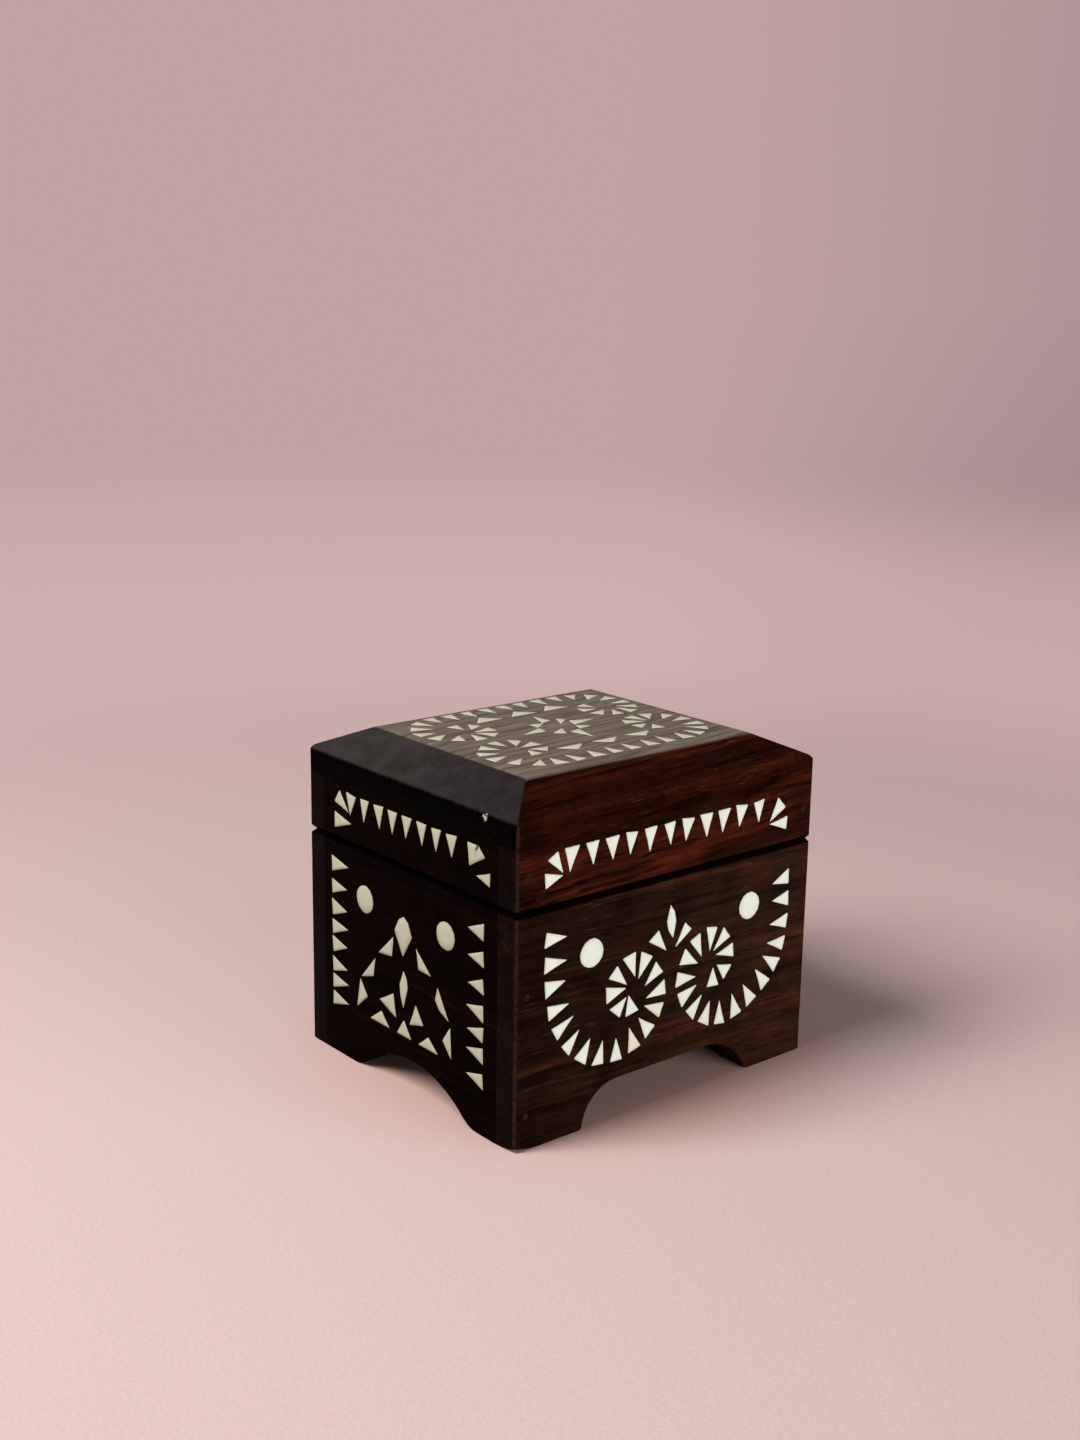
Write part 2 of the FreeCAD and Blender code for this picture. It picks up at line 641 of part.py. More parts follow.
def grown(piece, gap):
    """The outline moved outward by a gap, edge by edge."""
    area = sum(a[0] * b[1] - b[0] * a[1] for a, b in zip(piece, piece[1:] + piece[:1]))
    loop = piece if area > 0 else piece[::-1]
    lines = []
    for a, b in zip(loop, loop[1:] + loop[:1]):
        along = (b[0] - a[0], b[1] - a[1])
        span = math.hypot(*along)
        normal = (along[1] / span, -along[0] / span)
        lines.append((normal, normal[0] * a[0] + normal[1] * a[1] + gap))
    outline = []
    for (first, reach), (second, other) in zip(lines[-1:] + lines[:-1], lines):
        scale = first[0] * second[1] - first[1] * second[0]
        outline.append(((reach * second[1] - other * first[1]) / scale,
                        (first[0] * other - second[0] * reach) / scale))
    return outline


def slabs(face, pieces, above, thickness):
    """A flat slab for every outline, from a height above the face inward."""
    solids = []
    for piece in pieces:
        corners = [face.place(u, v, above) for u, v in piece]
        sheet_face = Part.Face(Part.makePolygon(corners + corners[:1]))
        solids.append(sheet_face.extrude(face.outward * -thickness))
    return Part.makeCompound(solids)


def inlay(name, face, pieces):
    """A group of inlay pieces, flush with the face, and the cutter of their pockets."""
    thickness = size("inlay_thickness")
    group = document.addObject("Part::Feature", name)
    group.Shape = slabs(face, pieces, 0.0, thickness)
    group.Placement = Placement()
    keep(group, name)
    pockets = document.addObject("Part::Feature", name + "_pockets")
    wide = [grown(piece, size("glue_gap")) for piece in pieces]
    pockets.Shape = slabs(face, wide, POCKET_RISE, thickness + POCKET_RISE)
    pockets.Placement = Placement()
    return pockets


# Middles of the bases along the two scrolls of the front, from the column at the edge
# down, under the scroll and into its spiral.
LEFT_SCROLL = ((-42, 53), (-42, 42), (-40, 31), (-31.6, 19.4), (-20.4, 15.4), (-8, 18.8),
               (-1.6, 28.8), (-5, 39), (-12, 43.1), (-19, 40.5), (-22, 34.5), (-19.5, 28.8),
               (-13, 26.8))
RIGHT_SCROLL = ((43.1, 52), (43.3, 40), (40, 27), (31, 19), (17.6, 15.8), (7.2, 21.1),
                (2.2, 31.8), (7.8, 42), (15.5, 43.7), (22.3, 38.5), (21.4, 30.2), (15.6, 27.1))
SCROLL_TEETH = 20
SHORT_TEETH = 2  # how many teeth at the end of a spiral are cut shorter
SHORT_SHARE = 0.8  # their length against the others'
COLUMN_TOOTH = 7.6  # length of the teeth of the left column on a side
HANGING_TOOTH = 6.3  # length of the teeth in the rows of the lid
TOP_TOOTH = 4.1, 6.3  # width and length of the teeth on top of the lid
LEFT_COLUMN = (53.7, 47.3, 41.4, 35.8, 30.8, 25.1, 20.2, 15.3)
RIGHT_COLUMN = (53.4, 46.4, 39.3, 32.2, 26.7, 21.1, 14.3)


def front_pattern(place, face):
    """Two scrolls, a crown between them and two dots; used on the front and the back."""
    chance = random.Random("scrolls " + place)
    crown = [
        [(-0.6, 53.3), (0.9, 51.2), (1.5, 48.6), (0.6, 43.9), (-1.1, 46.2), (-1.8, 48.9)],
        [(-8, 44.9), (-4.5, 47.3), (-1.5, 41)],
        [(4.7, 47.4), (7.2, 45), (1.3, 41.1)],
    ]
    return [
        inlay(place + "_left_scroll", face, scroll(LEFT_SCROLL, SCROLL_TEETH, 90, chance)),
        inlay(place + "_right_scroll", face, scroll(RIGHT_SCROLL, SCROLL_TEETH, -90, chance)),
        inlay(place + "_crown", face, crown),
        inlay(place + "_dots", face, [dot(-27, 46.4, chance), dot(28.2, 46.8, chance)]),
    ]


def side_pattern(place, face):
    """Two columns of teeth, two dots and a stepped figure under a drop; on both sides."""
    chance = random.Random("columns " + place)
    columns = column(-34, LEFT_COLUMN, 0, chance, COLUMN_TOOTH)
    columns += column(32.1, RIGHT_COLUMN, 180, chance)
    figure = [
        [(-1.2, 47.9), (-3.3, 46.6), (-5.2, 43), (-1.5, 36.7), (2.5, 43), (0.9, 46.6)],
        [(-1.2, 33.2), (0.2, 31.2), (0.7, 28.8), (-1.3, 22.5), (-2.6, 25.8), (-3, 29)],
        [(-5.6, 41.2), (-12.5, 34.7), (-6.3, 35.4)],
        [(-13.8, 32.8), (-20.4, 25.5), (-14.7, 27.3)],
        [(-20.9, 25), (-22.5, 16.3), (-17.5, 20.6)],
        [(4.2, 41), (5.3, 35.4), (10.8, 35.2)],
        [(13.4, 33.4), (12.3, 29.7), (14.1, 27.3), (18.3, 25.4)],
        [(18.8, 24.4), (15.5, 19.7), (19.3, 15.6)],
        [(-12.2, 21.8), (-5.7, 25.5), (-4.5, 18.9)],
        [(4.1, 25.5), (1.3, 19), (7.5, 20.7)],
        [(-16.5, 15), (-7.5, 15), (-11.2, 18.8)],
        [(-4.3, 15), (2.3, 15), (-1.1, 19.6)],
        [(5.1, 15), (13.8, 15), (9.5, 18.5)],
    ]
    return [
        inlay(place + "_columns", face, columns),
        inlay(place + "_figure", face, figure),
        inlay(place + "_dots", face, [dot(-18.5, 47.6, chance), dot(16.7, 48, chance)]),
    ]


def lid_long_pattern(place, face):
    """Hanging teeth with two more in each corner, on the front and back rails."""
    chance = random.Random("hanging " + place)
    pieces = row((-34, 14.2), (30.3, 14.2), 11, -90, chance, length=HANGING_TOOTH)
    pieces.append(tooth((-42.4, 7), 0, chance, length=5.9))
    pieces.append(tooth((-40.1, 13), -55, chance, width=4.1, length=6.2))
    pieces.append(tooth((39.1, 12.3), 223, chance, width=4.6, length=6.5))
    pieces.append(tooth((41.3, 6.2), 180, chance, width=3.6, length=6.8))
    return inlay("lid_%s_teeth" % place, face, pieces)


def lid_side_pattern(place, face):
    """Hanging teeth with a few in the corners, on the side rails."""
    chance = random.Random("hanging " + place)
    pieces = row((-24.6, 13.8), (18.9, 13.8), 8, -90, chance, length=HANGING_TOOTH)
    pieces.append(tooth((-32.4, 5.3), 0, chance, width=4.6, length=7.8))
    pieces.append(tooth((-31.2, 12.1), -35, chance, width=4.8, length=6.6))
    pieces.append([(25.2, 13.8), (29.7, 13.8), (32.3, 11.3), (26.1, 7.8)])
    pieces.append(tooth((34.3, 6.2), 180, chance, width=3.6, length=5.8))
    return inlay("lid_%s_teeth" % place, face, pieces)


# Middles of the bases along the half of a band of the lid's top, from the end of its
# straight row outward, round the corner and into its spiral.
TOP_LEFT_SCROLL = ((-22.3, -27), (-28.2, -25.1), (-32.2, -21.1), (-35.1, -15.5), (-35, -9.3),
                   (-30.2, -3), (-24.5, -0.3), (-18.5, -1.6), (-15.2, -6.2), (-16, -13.5),
                   (-22, -16.5))
TOP_RIGHT_SCROLL = ((21.3, -27), (27.5, -25.8), (32.6, -22.5), (35.4, -17.5), (36.2, -11.5),
                    (34.6, -5), (30, -0.7), (24, -0.2), (18.8, -3.7), (17.8, -9.7), (21.8, -14.7))
TOP_SCROLL_TEETH = 11
BAND_MIRROR = 1.5


def top_band(name, face, behind, chance):
    """A straight row that curls into a spiral at both ends, at the front or the back."""
    left = scroll(TOP_LEFT_SCROLL, TOP_SCROLL_TEETH, -90, chance, *TOP_TOOTH)
    right = scroll(TOP_RIGHT_SCROLL, TOP_SCROLL_TEETH, 90, chance, *TOP_TOOTH)
    middle = row((-16, -27), (15, -27), 6, 90, chance, *TOP_TOOTH)
    pieces = left + middle + right
    if behind:
        pieces = [[(u, 2 * BAND_MIRROR - v) for u, v in piece] for piece in pieces]
    return inlay(name, face, pieces)


def top_pattern(face):
    """Two bands, six flat triangles and a star of eight pieces on the flat of the lid."""
    chance = random.Random("top")
    flat = []
    for middle in (-10, 2, 13.5):
        flat.append([(middle - 4.7, -14.8), (middle + 4.7, -14.8), (middle, -18.8)])
        flat.append([(middle - 4.7, 18), (middle + 4.7, 18), (middle - 0.3, 22.8)])
    star = [
        [(-12.7, 0.8), (-5, 0.1), (-4.2, 4.1)],
        [(-4.3, 4.6), (0.2, 7.4), (-4.4, 8.6)],
        [(2.6, 15.3), (-0.2, 7.8), (3.7, 8.8)],
        [(3.2, 4.1), (6.2, 9.9), (7.8, 7.3)],
        [(15, 3.5), (7.3, 5.8), (6, 1.5)],
        [(5.6, 0.9), (4.2, -2.6), (9, -2.1)],
        [(1.6, -11.5), (-0.2, -3.5), (3.8, -2.8)],
        [(0.8, 0.7), (-5, -2.3), (-2, -4.7)],
    ]
    return [
        top_band("top_front_band", face, False, chance),
        top_band("top_back_band", face, True, chance),
        inlay("top_flat_triangles", face, flat),
        inlay("top_star", face, star),
    ]


# ---------------------------------------------------------------- assembly


def glue_blocks():
    """A square block in each corner under the bottom board, glued to the board and the walls."""
    for along, depth_side in ((-1, "front"), (1, "back")):
        for across, width_side in ((-1, "left"), (1, "right")):
            name = "%s_%s_glue_block" % (depth_side, width_side)
            x = "%d * (box_width / 2 - wall - block_size / 2) - block_size / 2" % across
            y = "%d * (box_depth / 2 - wall - block_size / 2) - block_size / 2" % along
            keep(box(name, "block_size", "block_size", "board_level - block_lift", x, y,
                     "block_lift"), name)


def bottom():
    """The bottom board, with the holes of the two nails that hold it, and its felt."""
    board = box("bottom_board_blank", "box_width - 2 * wall + 2 * board_tongue",
                "box_depth - 2 * wall", "board_thickness",
                "-box_width / 2 + wall - board_tongue", "-box_depth / 2 + wall", "board_level")
    holes = [nail("bottom_board_hole_%d" % (end + 1), *board_nail_spot(end), "fit_gap", end)
             for end in (-1, 1)]
    keep(carved("bottom_board", board, holes), "bottom_board")
    glue_blocks()
    keep(lining("floor_lining", "board_level + board_thickness"), "floor_lining")


def lining(name, level):
    """A sheet of felt that covers the floor or the underside of the lid."""
    return box(name, "box_width - 2 * wall - 2 * lining_margin",
               "box_depth - 2 * wall - 2 * lining_margin", "lining_thickness",
               "-box_width / 2 + wall + lining_margin", "-box_depth / 2 + wall + lining_margin",
               level)


def board_groove(name, side):
    """The groove in a side panel for the edge of the bottom board."""
    x = "-box_width / 2 + wall - board_tongue" if side < 0 else "box_width / 2 - wall"
    return box(name, "board_tongue", "box_depth", "board_thickness", x, "-box_depth / 2",
               "board_level")


def board_outline(body, name, role, across):
    """The outline of the top board from one side: rim, bevel and flat top."""
    sketch = new_sketch(body, name, role)
    corners = [Vector(-30, 0), Vector(30, 0), Vector(30, 5), Vector(20, 10), Vector(-20, 10),
               Vector(-30, 5)]
    for start, end in zip(corners, corners[1:] + corners[:1]):
        sketch.addGeometry(Part.LineSegment(start, end))
    for line in range(6):
        sketch.addConstraint(Sketcher.Constraint("Coincident", line, 2, (line + 1) % 6, 1))
    for right, left in (((0, 2), (0, 1)), ((1, 2), (5, 1)), ((3, 1), (3, 2))):
        sketch.addConstraint(Sketcher.Constraint("Symmetric", *right, *left, -2))
    sketch.addConstraint(Sketcher.Constraint("PointOnObject", 0, 1, -1))
    sketch.addConstraint(Sketcher.Constraint("Vertical", 1))
    dimension(sketch, "width", across, "DistanceX", 0, 1, 0, 2)
    dimension(sketch, "rim", "rim_height", "DistanceY", 1, 1, 1, 2)
    dimension(sketch, "rise", "bevel_height", "DistanceY", 2, 1, 2, 2)
    dimension(sketch, "run", "bevel_run", "DistanceX", 2, 2, 2, 1)
    return sketch


def bevelled_bar(name, role, across, along):
    """A bar with the outline of the top board and its softened corners."""
    body = document.addObject("PartDesign::Body", name)
    outline = board_outline(body, name + "_outline", role, across)
    solid = feature(body, "Pad", name + "_pad", Profile=outline, Length=along)
    run = Vector(0, 1, 0) if role == "XZ_Plane" else Vector(1, 0, 0)
    top = size("rim_height") + size("bevel_height")
    shoulders = edges(solid, lambda point, edge: near(point.z, size("rim_height"))
                      and runs_along(edge, run))
    solid = feature(body, "Fillet", name + "_shoulders", Base=shoulders, Radius="rim_round")
    brinks = edges(solid, lambda point, edge: near(point.z, top) and runs_along(edge, run))
    feature(body, "Fillet", name + "_brinks", Base=brinks, Radius="bevel_round")
    if role == "XZ_Plane":
        bind(body, y="box_depth / 2")
    else:
        bind(body, x="-box_width / 2")
    bind(body, z="seam_height + rail_height")
    return body


def upright_block():
    """The footprint of the top board with its rounded upright corners."""
    body = document.addObject("PartDesign::Body", "top_board_block")
    outline = rectangle(body, "top_board_block_outline", "XZ_Plane", "box_width",
                        "rim_height + bevel_height")
    solid = feature(body, "Pad", "top_board_block_pad", Profile=outline, Length="box_depth")
    uprights = edges(solid, lambda point, edge: runs_along(edge, Vector(0, 0, 1)))
    feature(body, "Fillet", "top_board_block_uprights", Base=uprights, Radius="edge_round")
    bind(body, y="box_depth / 2", z="seam_height + rail_height")
    return body


def top_board_blank():
    """The thick bevelled board that closes the lid, before its pockets are cut."""
    crosswise = bevelled_bar("top_board_crosswise", "XZ_Plane", "box_width", "box_depth")
    lengthwise = bevelled_bar("top_board_lengthwise", "YZ_Plane", "box_depth", "box_width")
    block = upright_block()
    board = document.addObject("Part::MultiCommon", "top_board_blank")
    board.Shapes = [crosswise, lengthwise, block]
    return board


def body_wood(pockets):
    """The four panels of the body, with their nails, grooves, hinge beds and pockets."""
    for outward, place in ((-1, "front"), (1, "back")):
        name = place + "_panel"
        blank = long_wall(name, "seam_height", "0", outward, True, True)
        cutters = nails(name + "_nails", body_nail_spots(outward), outward)
        for across in (-1, 1):
            reach = "foot_wear" if (outward, across) == (-1, -1) else "foot_soften"
            cutters.append(worn_corner("%s_foot_%d" % (name, across + 1), across, outward, reach))
        if outward > 0:
            cutters.append(slant(name + "_slant", True))
            cutters += hinge_beds(name + "_hinges", False)
        keep(carved(name, blank, cutters + pockets[place]), name)
    for outward, place in ((-1, "left"), (1, "right")):
        name = place + "_panel"
        blank = side_wall(name, "seam_height", "0", outward, True, True)
        cutters = [board_groove(name + "_groove", outward)]
        for end in (-1, 1):
            cutters += [nail("%s_end_%d_%s" % (name, end + 1, level),
                             "%d * (box_width - wall) / 2" % outward, level, "fit_gap", end)
                        for level in NAIL_LEVELS]
        keep(carved(name, blank, cutters + pockets[place]), name)


def lid_wood(pockets):
    """The four rails and the top board of the lid."""
    for outward, place in ((-1, "front"), (1, "back")):
        name = "lid_%s_rail" % place
        blank = long_wall(name, "rail_height", "seam_height", outward, False, False)
        cutters = nails("lid_%s_nails" % place, lid_nail_spots(), outward)
        if outward > 0:
            cutters.append(slant(name + "_slant", False))
            cutters += hinge_beds(name + "_hinges", True)
        keep(carved(name, blank, cutters + [pockets["lid_" + place]]), name)
    for outward, place in ((-1, "left"), (1, "right")):
        name = "lid_%s_rail" % place
        blank = side_wall(name, "rail_height", "seam_height", outward, False, False)
        cutters = [nail("%s_end_%d" % (name, end + 1), "%d * (box_width - wall) / 2" % outward,
                        "seam_height + lid_nail", "fit_gap", end) for end in (-1, 1)]
        keep(carved(name, blank, cutters + [pockets["lid_" + place]]), name)
    keep(carved("top_board", top_board_blank(), pockets["top"]), "top_board")
    keep(lining("lid_lining", "seam_height + rail_height - lining_thickness"), "lid_lining")


def assemble():
    """Make every piece of the box."""
    sides = faces()
    pockets = {
        "front": front_pattern("front", sides["front"]),
        "back": front_pattern("back", sides["back"]),
        "left": side_pattern("left", sides["left"]),
        "right": side_pattern("right", sides["right"]),
        "lid_front": lid_long_pattern("front", sides["lid_front"]),
        "lid_back": lid_long_pattern("back", sides["lid_back"]),
        "lid_left": lid_side_pattern("left", sides["lid_left"]),
        "lid_right": lid_side_pattern("right", sides["lid_right"]),
        "top": top_pattern(sides["top"]),
    }
    body_wood(pockets)
    bottom()
    lid_wood(pockets)
    hinge(-1, "left_hinge")
    hinge(1, "right_hinge")
    hinge_screws("body_hinge_screws", True)
    hinge_screws("lid_hinge_screws", False)


def check():
    """Stop if an object failed or a piece has no sound shape."""
    for item in document.Objects:
        if "Invalid" in item.State or "Error" in item.State:
            raise RuntimeError("%s failed: %s" % (item.Name, item.State))
    for item in nodes:
        if item.Shape.isNull() or not item.Shape.isValid():
            raise RuntimeError("%s has no sound shape" % item.Label)


def export():
    """Write one file for every piece."""
    os.makedirs("parts", exist_ok=True)
    for item in nodes:
        item.Shape.exportStep("parts/%s.step" % item.Label)
        print("%-28s solids %3d  volume %10.2f" % (item.Label, len(item.Shape.Solids),
                                                  item.Shape.Volume))


assemble()
document.recompute()
check()
export()
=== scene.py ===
"""Looks of a small hinged wooden box inlaid with hand-cut pieces of bone.

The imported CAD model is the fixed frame. The wood, brass and nails keep their CAD shapes
and get worn, oiled finishes. The inlay pieces and the felt linings are built here.
"""
import logging
import math
from dataclasses import dataclass
from enum import Enum
from typing import Optional, Sequence, Union

import bmesh
import bpy
import numpy as np
from mathutils import Matrix, Vector


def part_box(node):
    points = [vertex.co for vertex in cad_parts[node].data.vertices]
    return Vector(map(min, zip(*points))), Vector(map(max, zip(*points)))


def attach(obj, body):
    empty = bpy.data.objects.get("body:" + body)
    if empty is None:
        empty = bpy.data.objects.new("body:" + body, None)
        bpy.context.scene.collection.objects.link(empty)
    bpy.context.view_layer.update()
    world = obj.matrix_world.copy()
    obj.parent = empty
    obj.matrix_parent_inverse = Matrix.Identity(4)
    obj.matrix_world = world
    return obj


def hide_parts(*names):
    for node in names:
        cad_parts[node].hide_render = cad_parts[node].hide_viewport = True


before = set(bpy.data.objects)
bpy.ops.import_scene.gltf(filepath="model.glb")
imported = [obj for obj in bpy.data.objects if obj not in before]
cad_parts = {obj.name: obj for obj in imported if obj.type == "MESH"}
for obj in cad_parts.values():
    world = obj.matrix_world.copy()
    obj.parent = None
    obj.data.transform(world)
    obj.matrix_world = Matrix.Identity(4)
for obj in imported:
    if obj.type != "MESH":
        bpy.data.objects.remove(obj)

log = logging.getLogger("inlaid_box")

MM = 0.001
Colour = tuple[float, float, float]
Point = tuple[float, float, float]
Socket = bpy.types.NodeSocket
Input = Union[Socket, float, Colour, Sequence[float]]


class Grain(Enum):
    """The way that the fibres of a board run, as the order of its coordinates."""

    ALONG_X = ("X", "Y", "Z")
    ALONG_Y = ("Y", "X", "Z")


class Side(Enum):
    """An outside face with its directions to the right, upward and outward."""

    FRONT = ((1, 0, 0), (0, 0, 1))
    BACK = ((-1, 0, 0), (0, 0, 1))
    LEFT = ((0, -1, 0), (0, 0, 1))
    RIGHT = ((0, 1, 0), (0, 0, 1))
    TOP = ((1, 0, 0), (0, 1, 0))

    def __init__(self, right: Point, up: Point) -> None:
        """Work out the directions.

        Args:
            right: The direction to the right on the face.
            up: The direction upward on the face.
        """
        self.right, self.up = np.array(right, float), np.array(up, float)
        self.outward = np.cross(self.right, self.up)


# ---------------------------------------------------------------- node trees


class Graph:
    """The node tree of a material or world, with short calls for its nodes."""

    def __init__(self, owner: Union[bpy.types.Material, bpy.types.World]) -> None:
        """Start an empty tree.

        Args:
            owner: The material or world that holds the tree.
        """
        owner.use_nodes = True
        self.owner = owner
        self.tree = owner.node_tree
        self.tree.nodes.clear()

    @classmethod
    def of_material(cls, name: str) -> "Graph":
        """Start the tree of a new material.

        Args:
            name: The material's name.

        Returns:
            The empty tree.
        """
        return cls(bpy.data.materials.new(name))

    def node(self, kind: str, inputs: Optional[dict[Union[int, str], Input]] = None,
             **settings: object) -> bpy.types.Node:
        """Add a node.

        Args:
            kind: The node's type without its "ShaderNode" start.
            inputs: Sockets to link and values to set, by socket name or number.
            **settings: Properties of the node itself.

        Returns:
            The new node.
        """
        made = self.tree.nodes.new("ShaderNode" + kind)
        for key, value in settings.items():
            setattr(made, key, value)
        for key, value in (inputs or {}).items():
            if isinstance(value, Socket):
                self.tree.links.new(value, made.inputs[key])
            elif isinstance(value, tuple) and made.inputs[key].type == "RGBA":
                made.inputs[key].default_value = (*value, 1.0)
            else:
                made.inputs[key].default_value = value
        return made

    def math(self, operation: str, first: Input, second: Input = 0.0) -> Socket:
        """One operation on one or two numbers.

        Args:
            operation: The name of the Math node's operation.
            first: The first number or socket.
            second: The second number or socket.

        Returns:
            The result's socket.
        """
        return self.node("Math", {0: first, 1: second}, operation=operation).outputs[0]

    def add(self, first: Input, second: Input) -> Socket:
        """The sum of two numbers."""
        return self.math("ADD", first, second)

    def less(self, first: Input, second: Input) -> Socket:
        """The first number less the second."""
        return self.math("SUBTRACT", first, second)

    def times(self, first: Input, second: Input) -> Socket:
        """The product of two numbers."""
        return self.math("MULTIPLY", first, second)

    def absolute(self, value: Input) -> Socket:
        """A number without its sign."""
        return self.math("ABSOLUTE", value)

    def blend(self, share: Input, first: Input, second: Input, mode: str = "MIX") -> Socket:
        """Two colours mixed by a share.

        Args:
            share: How much of the second colour shows.
            first: The colour at share 0.
            second: The colour at share 1.
            mode: The blend mode.

        Returns:
            The mixed colour's socket.
        """
        return self.node("Mix", {0: share, 6: first, 7: second}, data_type="RGBA",
                         blend_type=mode).outputs[2]

    def shade(self, colour: Input, level: Input) -> Socket:
        """A colour multiplied by a number or by another colour."""
        return self.blend(1.0, colour, level, "MULTIPLY")

    def rise(self, value: Input, low: float, high: float, start: float = 0.0,
             end: float = 1.0) -> Socket:
        """A smooth step of a value between two limits.

        Args:
            value: The number that decides.
            low: The value at which the step starts.
            high: The value at which the step ends.
            start: The result below the step.
            end: The result above the step.

        Returns:
            The step's socket.
        """
        return self.node("MapRange", {0: value, 1: low, 2: high, 3: start, 4: end},
                         interpolation_type="SMOOTHSTEP").outputs[0]

    def noise(self, vector: Input, scale: float = 1.0, detail: float = 3.0,
              roughness: float = 0.55, distortion: float = 0.0) -> Socket:
        """Fractal noise from 0 to 1.

        Args:
            vector: The coordinates.
            scale: Cells per unit.
            detail: How many finer layers are added.
            roughness: How strong each finer layer is.
            distortion: How far the noise bends itself.

        Returns:
            The noise value's socket.
        """
        return self.node("TexNoise", {"Vector": vector, "Scale": scale, "Detail": detail,
                                      "Roughness": roughness,
                                      "Distortion": distortion}).outputs[0]

    def steps(self, value: Input, stops: Sequence[tuple[float, Colour]]) -> Socket:
        """A colour ramp.

        Args:
            value: The number that picks the colour.
            stops: Places from 0 to 1 with their colours.

        Returns:
            The colour's socket.
        """
        made = self.node("ValToRGB", {0: value})
        ramp = made.color_ramp
        while len(ramp.elements) < len(stops):
            ramp.elements.new(0.5)
        for element, (place, colour) in zip(ramp.elements, stops):
            element.position = place
            element.color = (*colour, 1.0)
        return made.outputs[0]

    def parts(self, vector: Socket) -> dict[str, Socket]:
        """The three coordinates of a vector by letter."""
        made = self.node("SeparateXYZ", {0: vector})
        return {letter: made.outputs[letter] for letter in "XYZ"}

    def joined(self, x: Input, y: Input, z: Input) -> Socket:
        """Three coordinates as one vector."""
        return self.node("CombineXYZ", {0: x, 1: y, 2: z}).outputs[0]

    def mapped(self, vector: Socket, turn: Sequence[float], stretch: Sequence[float]) -> Socket:
        """Coordinates turned about the three axes in radians and stretched along them."""
        return self.node("Mapping", {"Vector": vector, "Rotation": turn,
                                     "Scale": stretch}).outputs[0]

    def close(self, colour: Input, roughness: Input, height: Socket, depth: float,
              **constants: float) -> None:
        """End the tree in a Principled shader.

        Args:
            colour: The base colour.
            roughness: The roughness.
            height: The relief from 0 to 1.
            depth: The relief's depth in metres.
            **constants: Other sockets of the shader with spaces written as underscores.
        """
        relief = self.node("Bump", {"Height": height, "Distance": depth, "Strength": 1.0})
        inputs = {"Base Color": colour, "Roughness": roughness, "Normal": relief.outputs[0]}
        inputs.update({key.replace("_", " "): value for key, value in constants.items()})
        self.end("OutputMaterial", self.node("BsdfPrincipled", inputs))

    def end(self, kind: str, shader: bpy.types.Node) -> None:
        """Link a shader to the tree's output.

        Args:
            kind: The output node's type.
            shader: The last shader.
        """
        output = self.node(kind)
        self.tree.links.new(shader.outputs[0], output.inputs["Surface"])


# ---------------------------------------------------------------- finishes


def scaled(colour: Colour, factor: float) -> Colour:
    """A colour made brighter or darker.

    Args:
        colour: The colour.
        factor: What each of its levels is multiplied by.

    Returns:
        The new colour.
    """
    return tuple(factor * level for level in colour)


# Width and height of the lid's bevel in millimetres.
BEVEL_RUN = 13.2
BEVEL_RISE = 6.2


class BoxGraph(Graph):
    """The tree of a board's material, which knows where a point lies on the box.

    Attributes:
        spot: The point's coordinates as one vector. All its lengths are in millimetres.
        axes: Its coordinates by letter.
        half_width: Half of the box's width.
        beside: How far the point lies inside the two ends.
        half_depth: Half of the box's depth.
        behind: How far the point lies inside the front and the back.
        seam: Height of the seam between the body and the lid.
        shoulder: Height of the edge under the lid's bevel.
    """

    def __init__(self, owner: bpy.types.Material) -> None:
        """Measure the CAD nodes and start the tree with the point.

        Args:
            owner: The material that holds the tree.
        """
        super().__init__(owner)
        low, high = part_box("top_board")
        metres = self.node("TexCoord").outputs["Object"]
        self.spot = self.node("VectorMath", {0: metres, 3: 1.0 / MM}, operation="SCALE").outputs[0]
        self.axes = self.parts(self.spot)
        self.half_width = (high.x - low.x) / 2 / MM
        self.beside = self.less(self.half_width, self.absolute(self.axes["X"]))
        self.half_depth = (high.y - low.y) / 2 / MM
        self.behind = self.less(self.half_depth, self.absolute(self.axes["Y"]))
        self.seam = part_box("front_panel")[1].z / MM
        self.shoulder = high.z / MM - BEVEL_RISE


class Finish:
    """The look of a piece's surface."""

    def build(self, name: str) -> bpy.types.Material:
        """Make the material.

        Args:
            name: The material's name.

        Returns:
            The finished material.
        """
        graph = BoxGraph.of_material(name)
        self.paint(graph)
        return graph.owner

    def paint(self, graph: BoxGraph) -> None:
        """Add the finish to a tree.

        Args:
            graph: The tree to add to.
        """
        raise NotImplementedError


# Length and width in millimetres of each kind of streak along the fibres, and its detail.
STREAKS = {
    "figure": (110.0, 1.8, 6.0),
    "fine": (30.0, 0.34, 3.0),
    "pores": (6.0, 0.2, 2.0),
    "bands": (140.0, 6.0, 5.0),
}

# Turn in radians and cells per millimetre along the axes for each direction of scratches.
SCRATCH_RUNS = (((0.03, 0.06, 0.0), (0.09, 2.6, 2.6)),
                ((0.0, 0.4, 0.35), (0.15, 2.6, 2.6)))


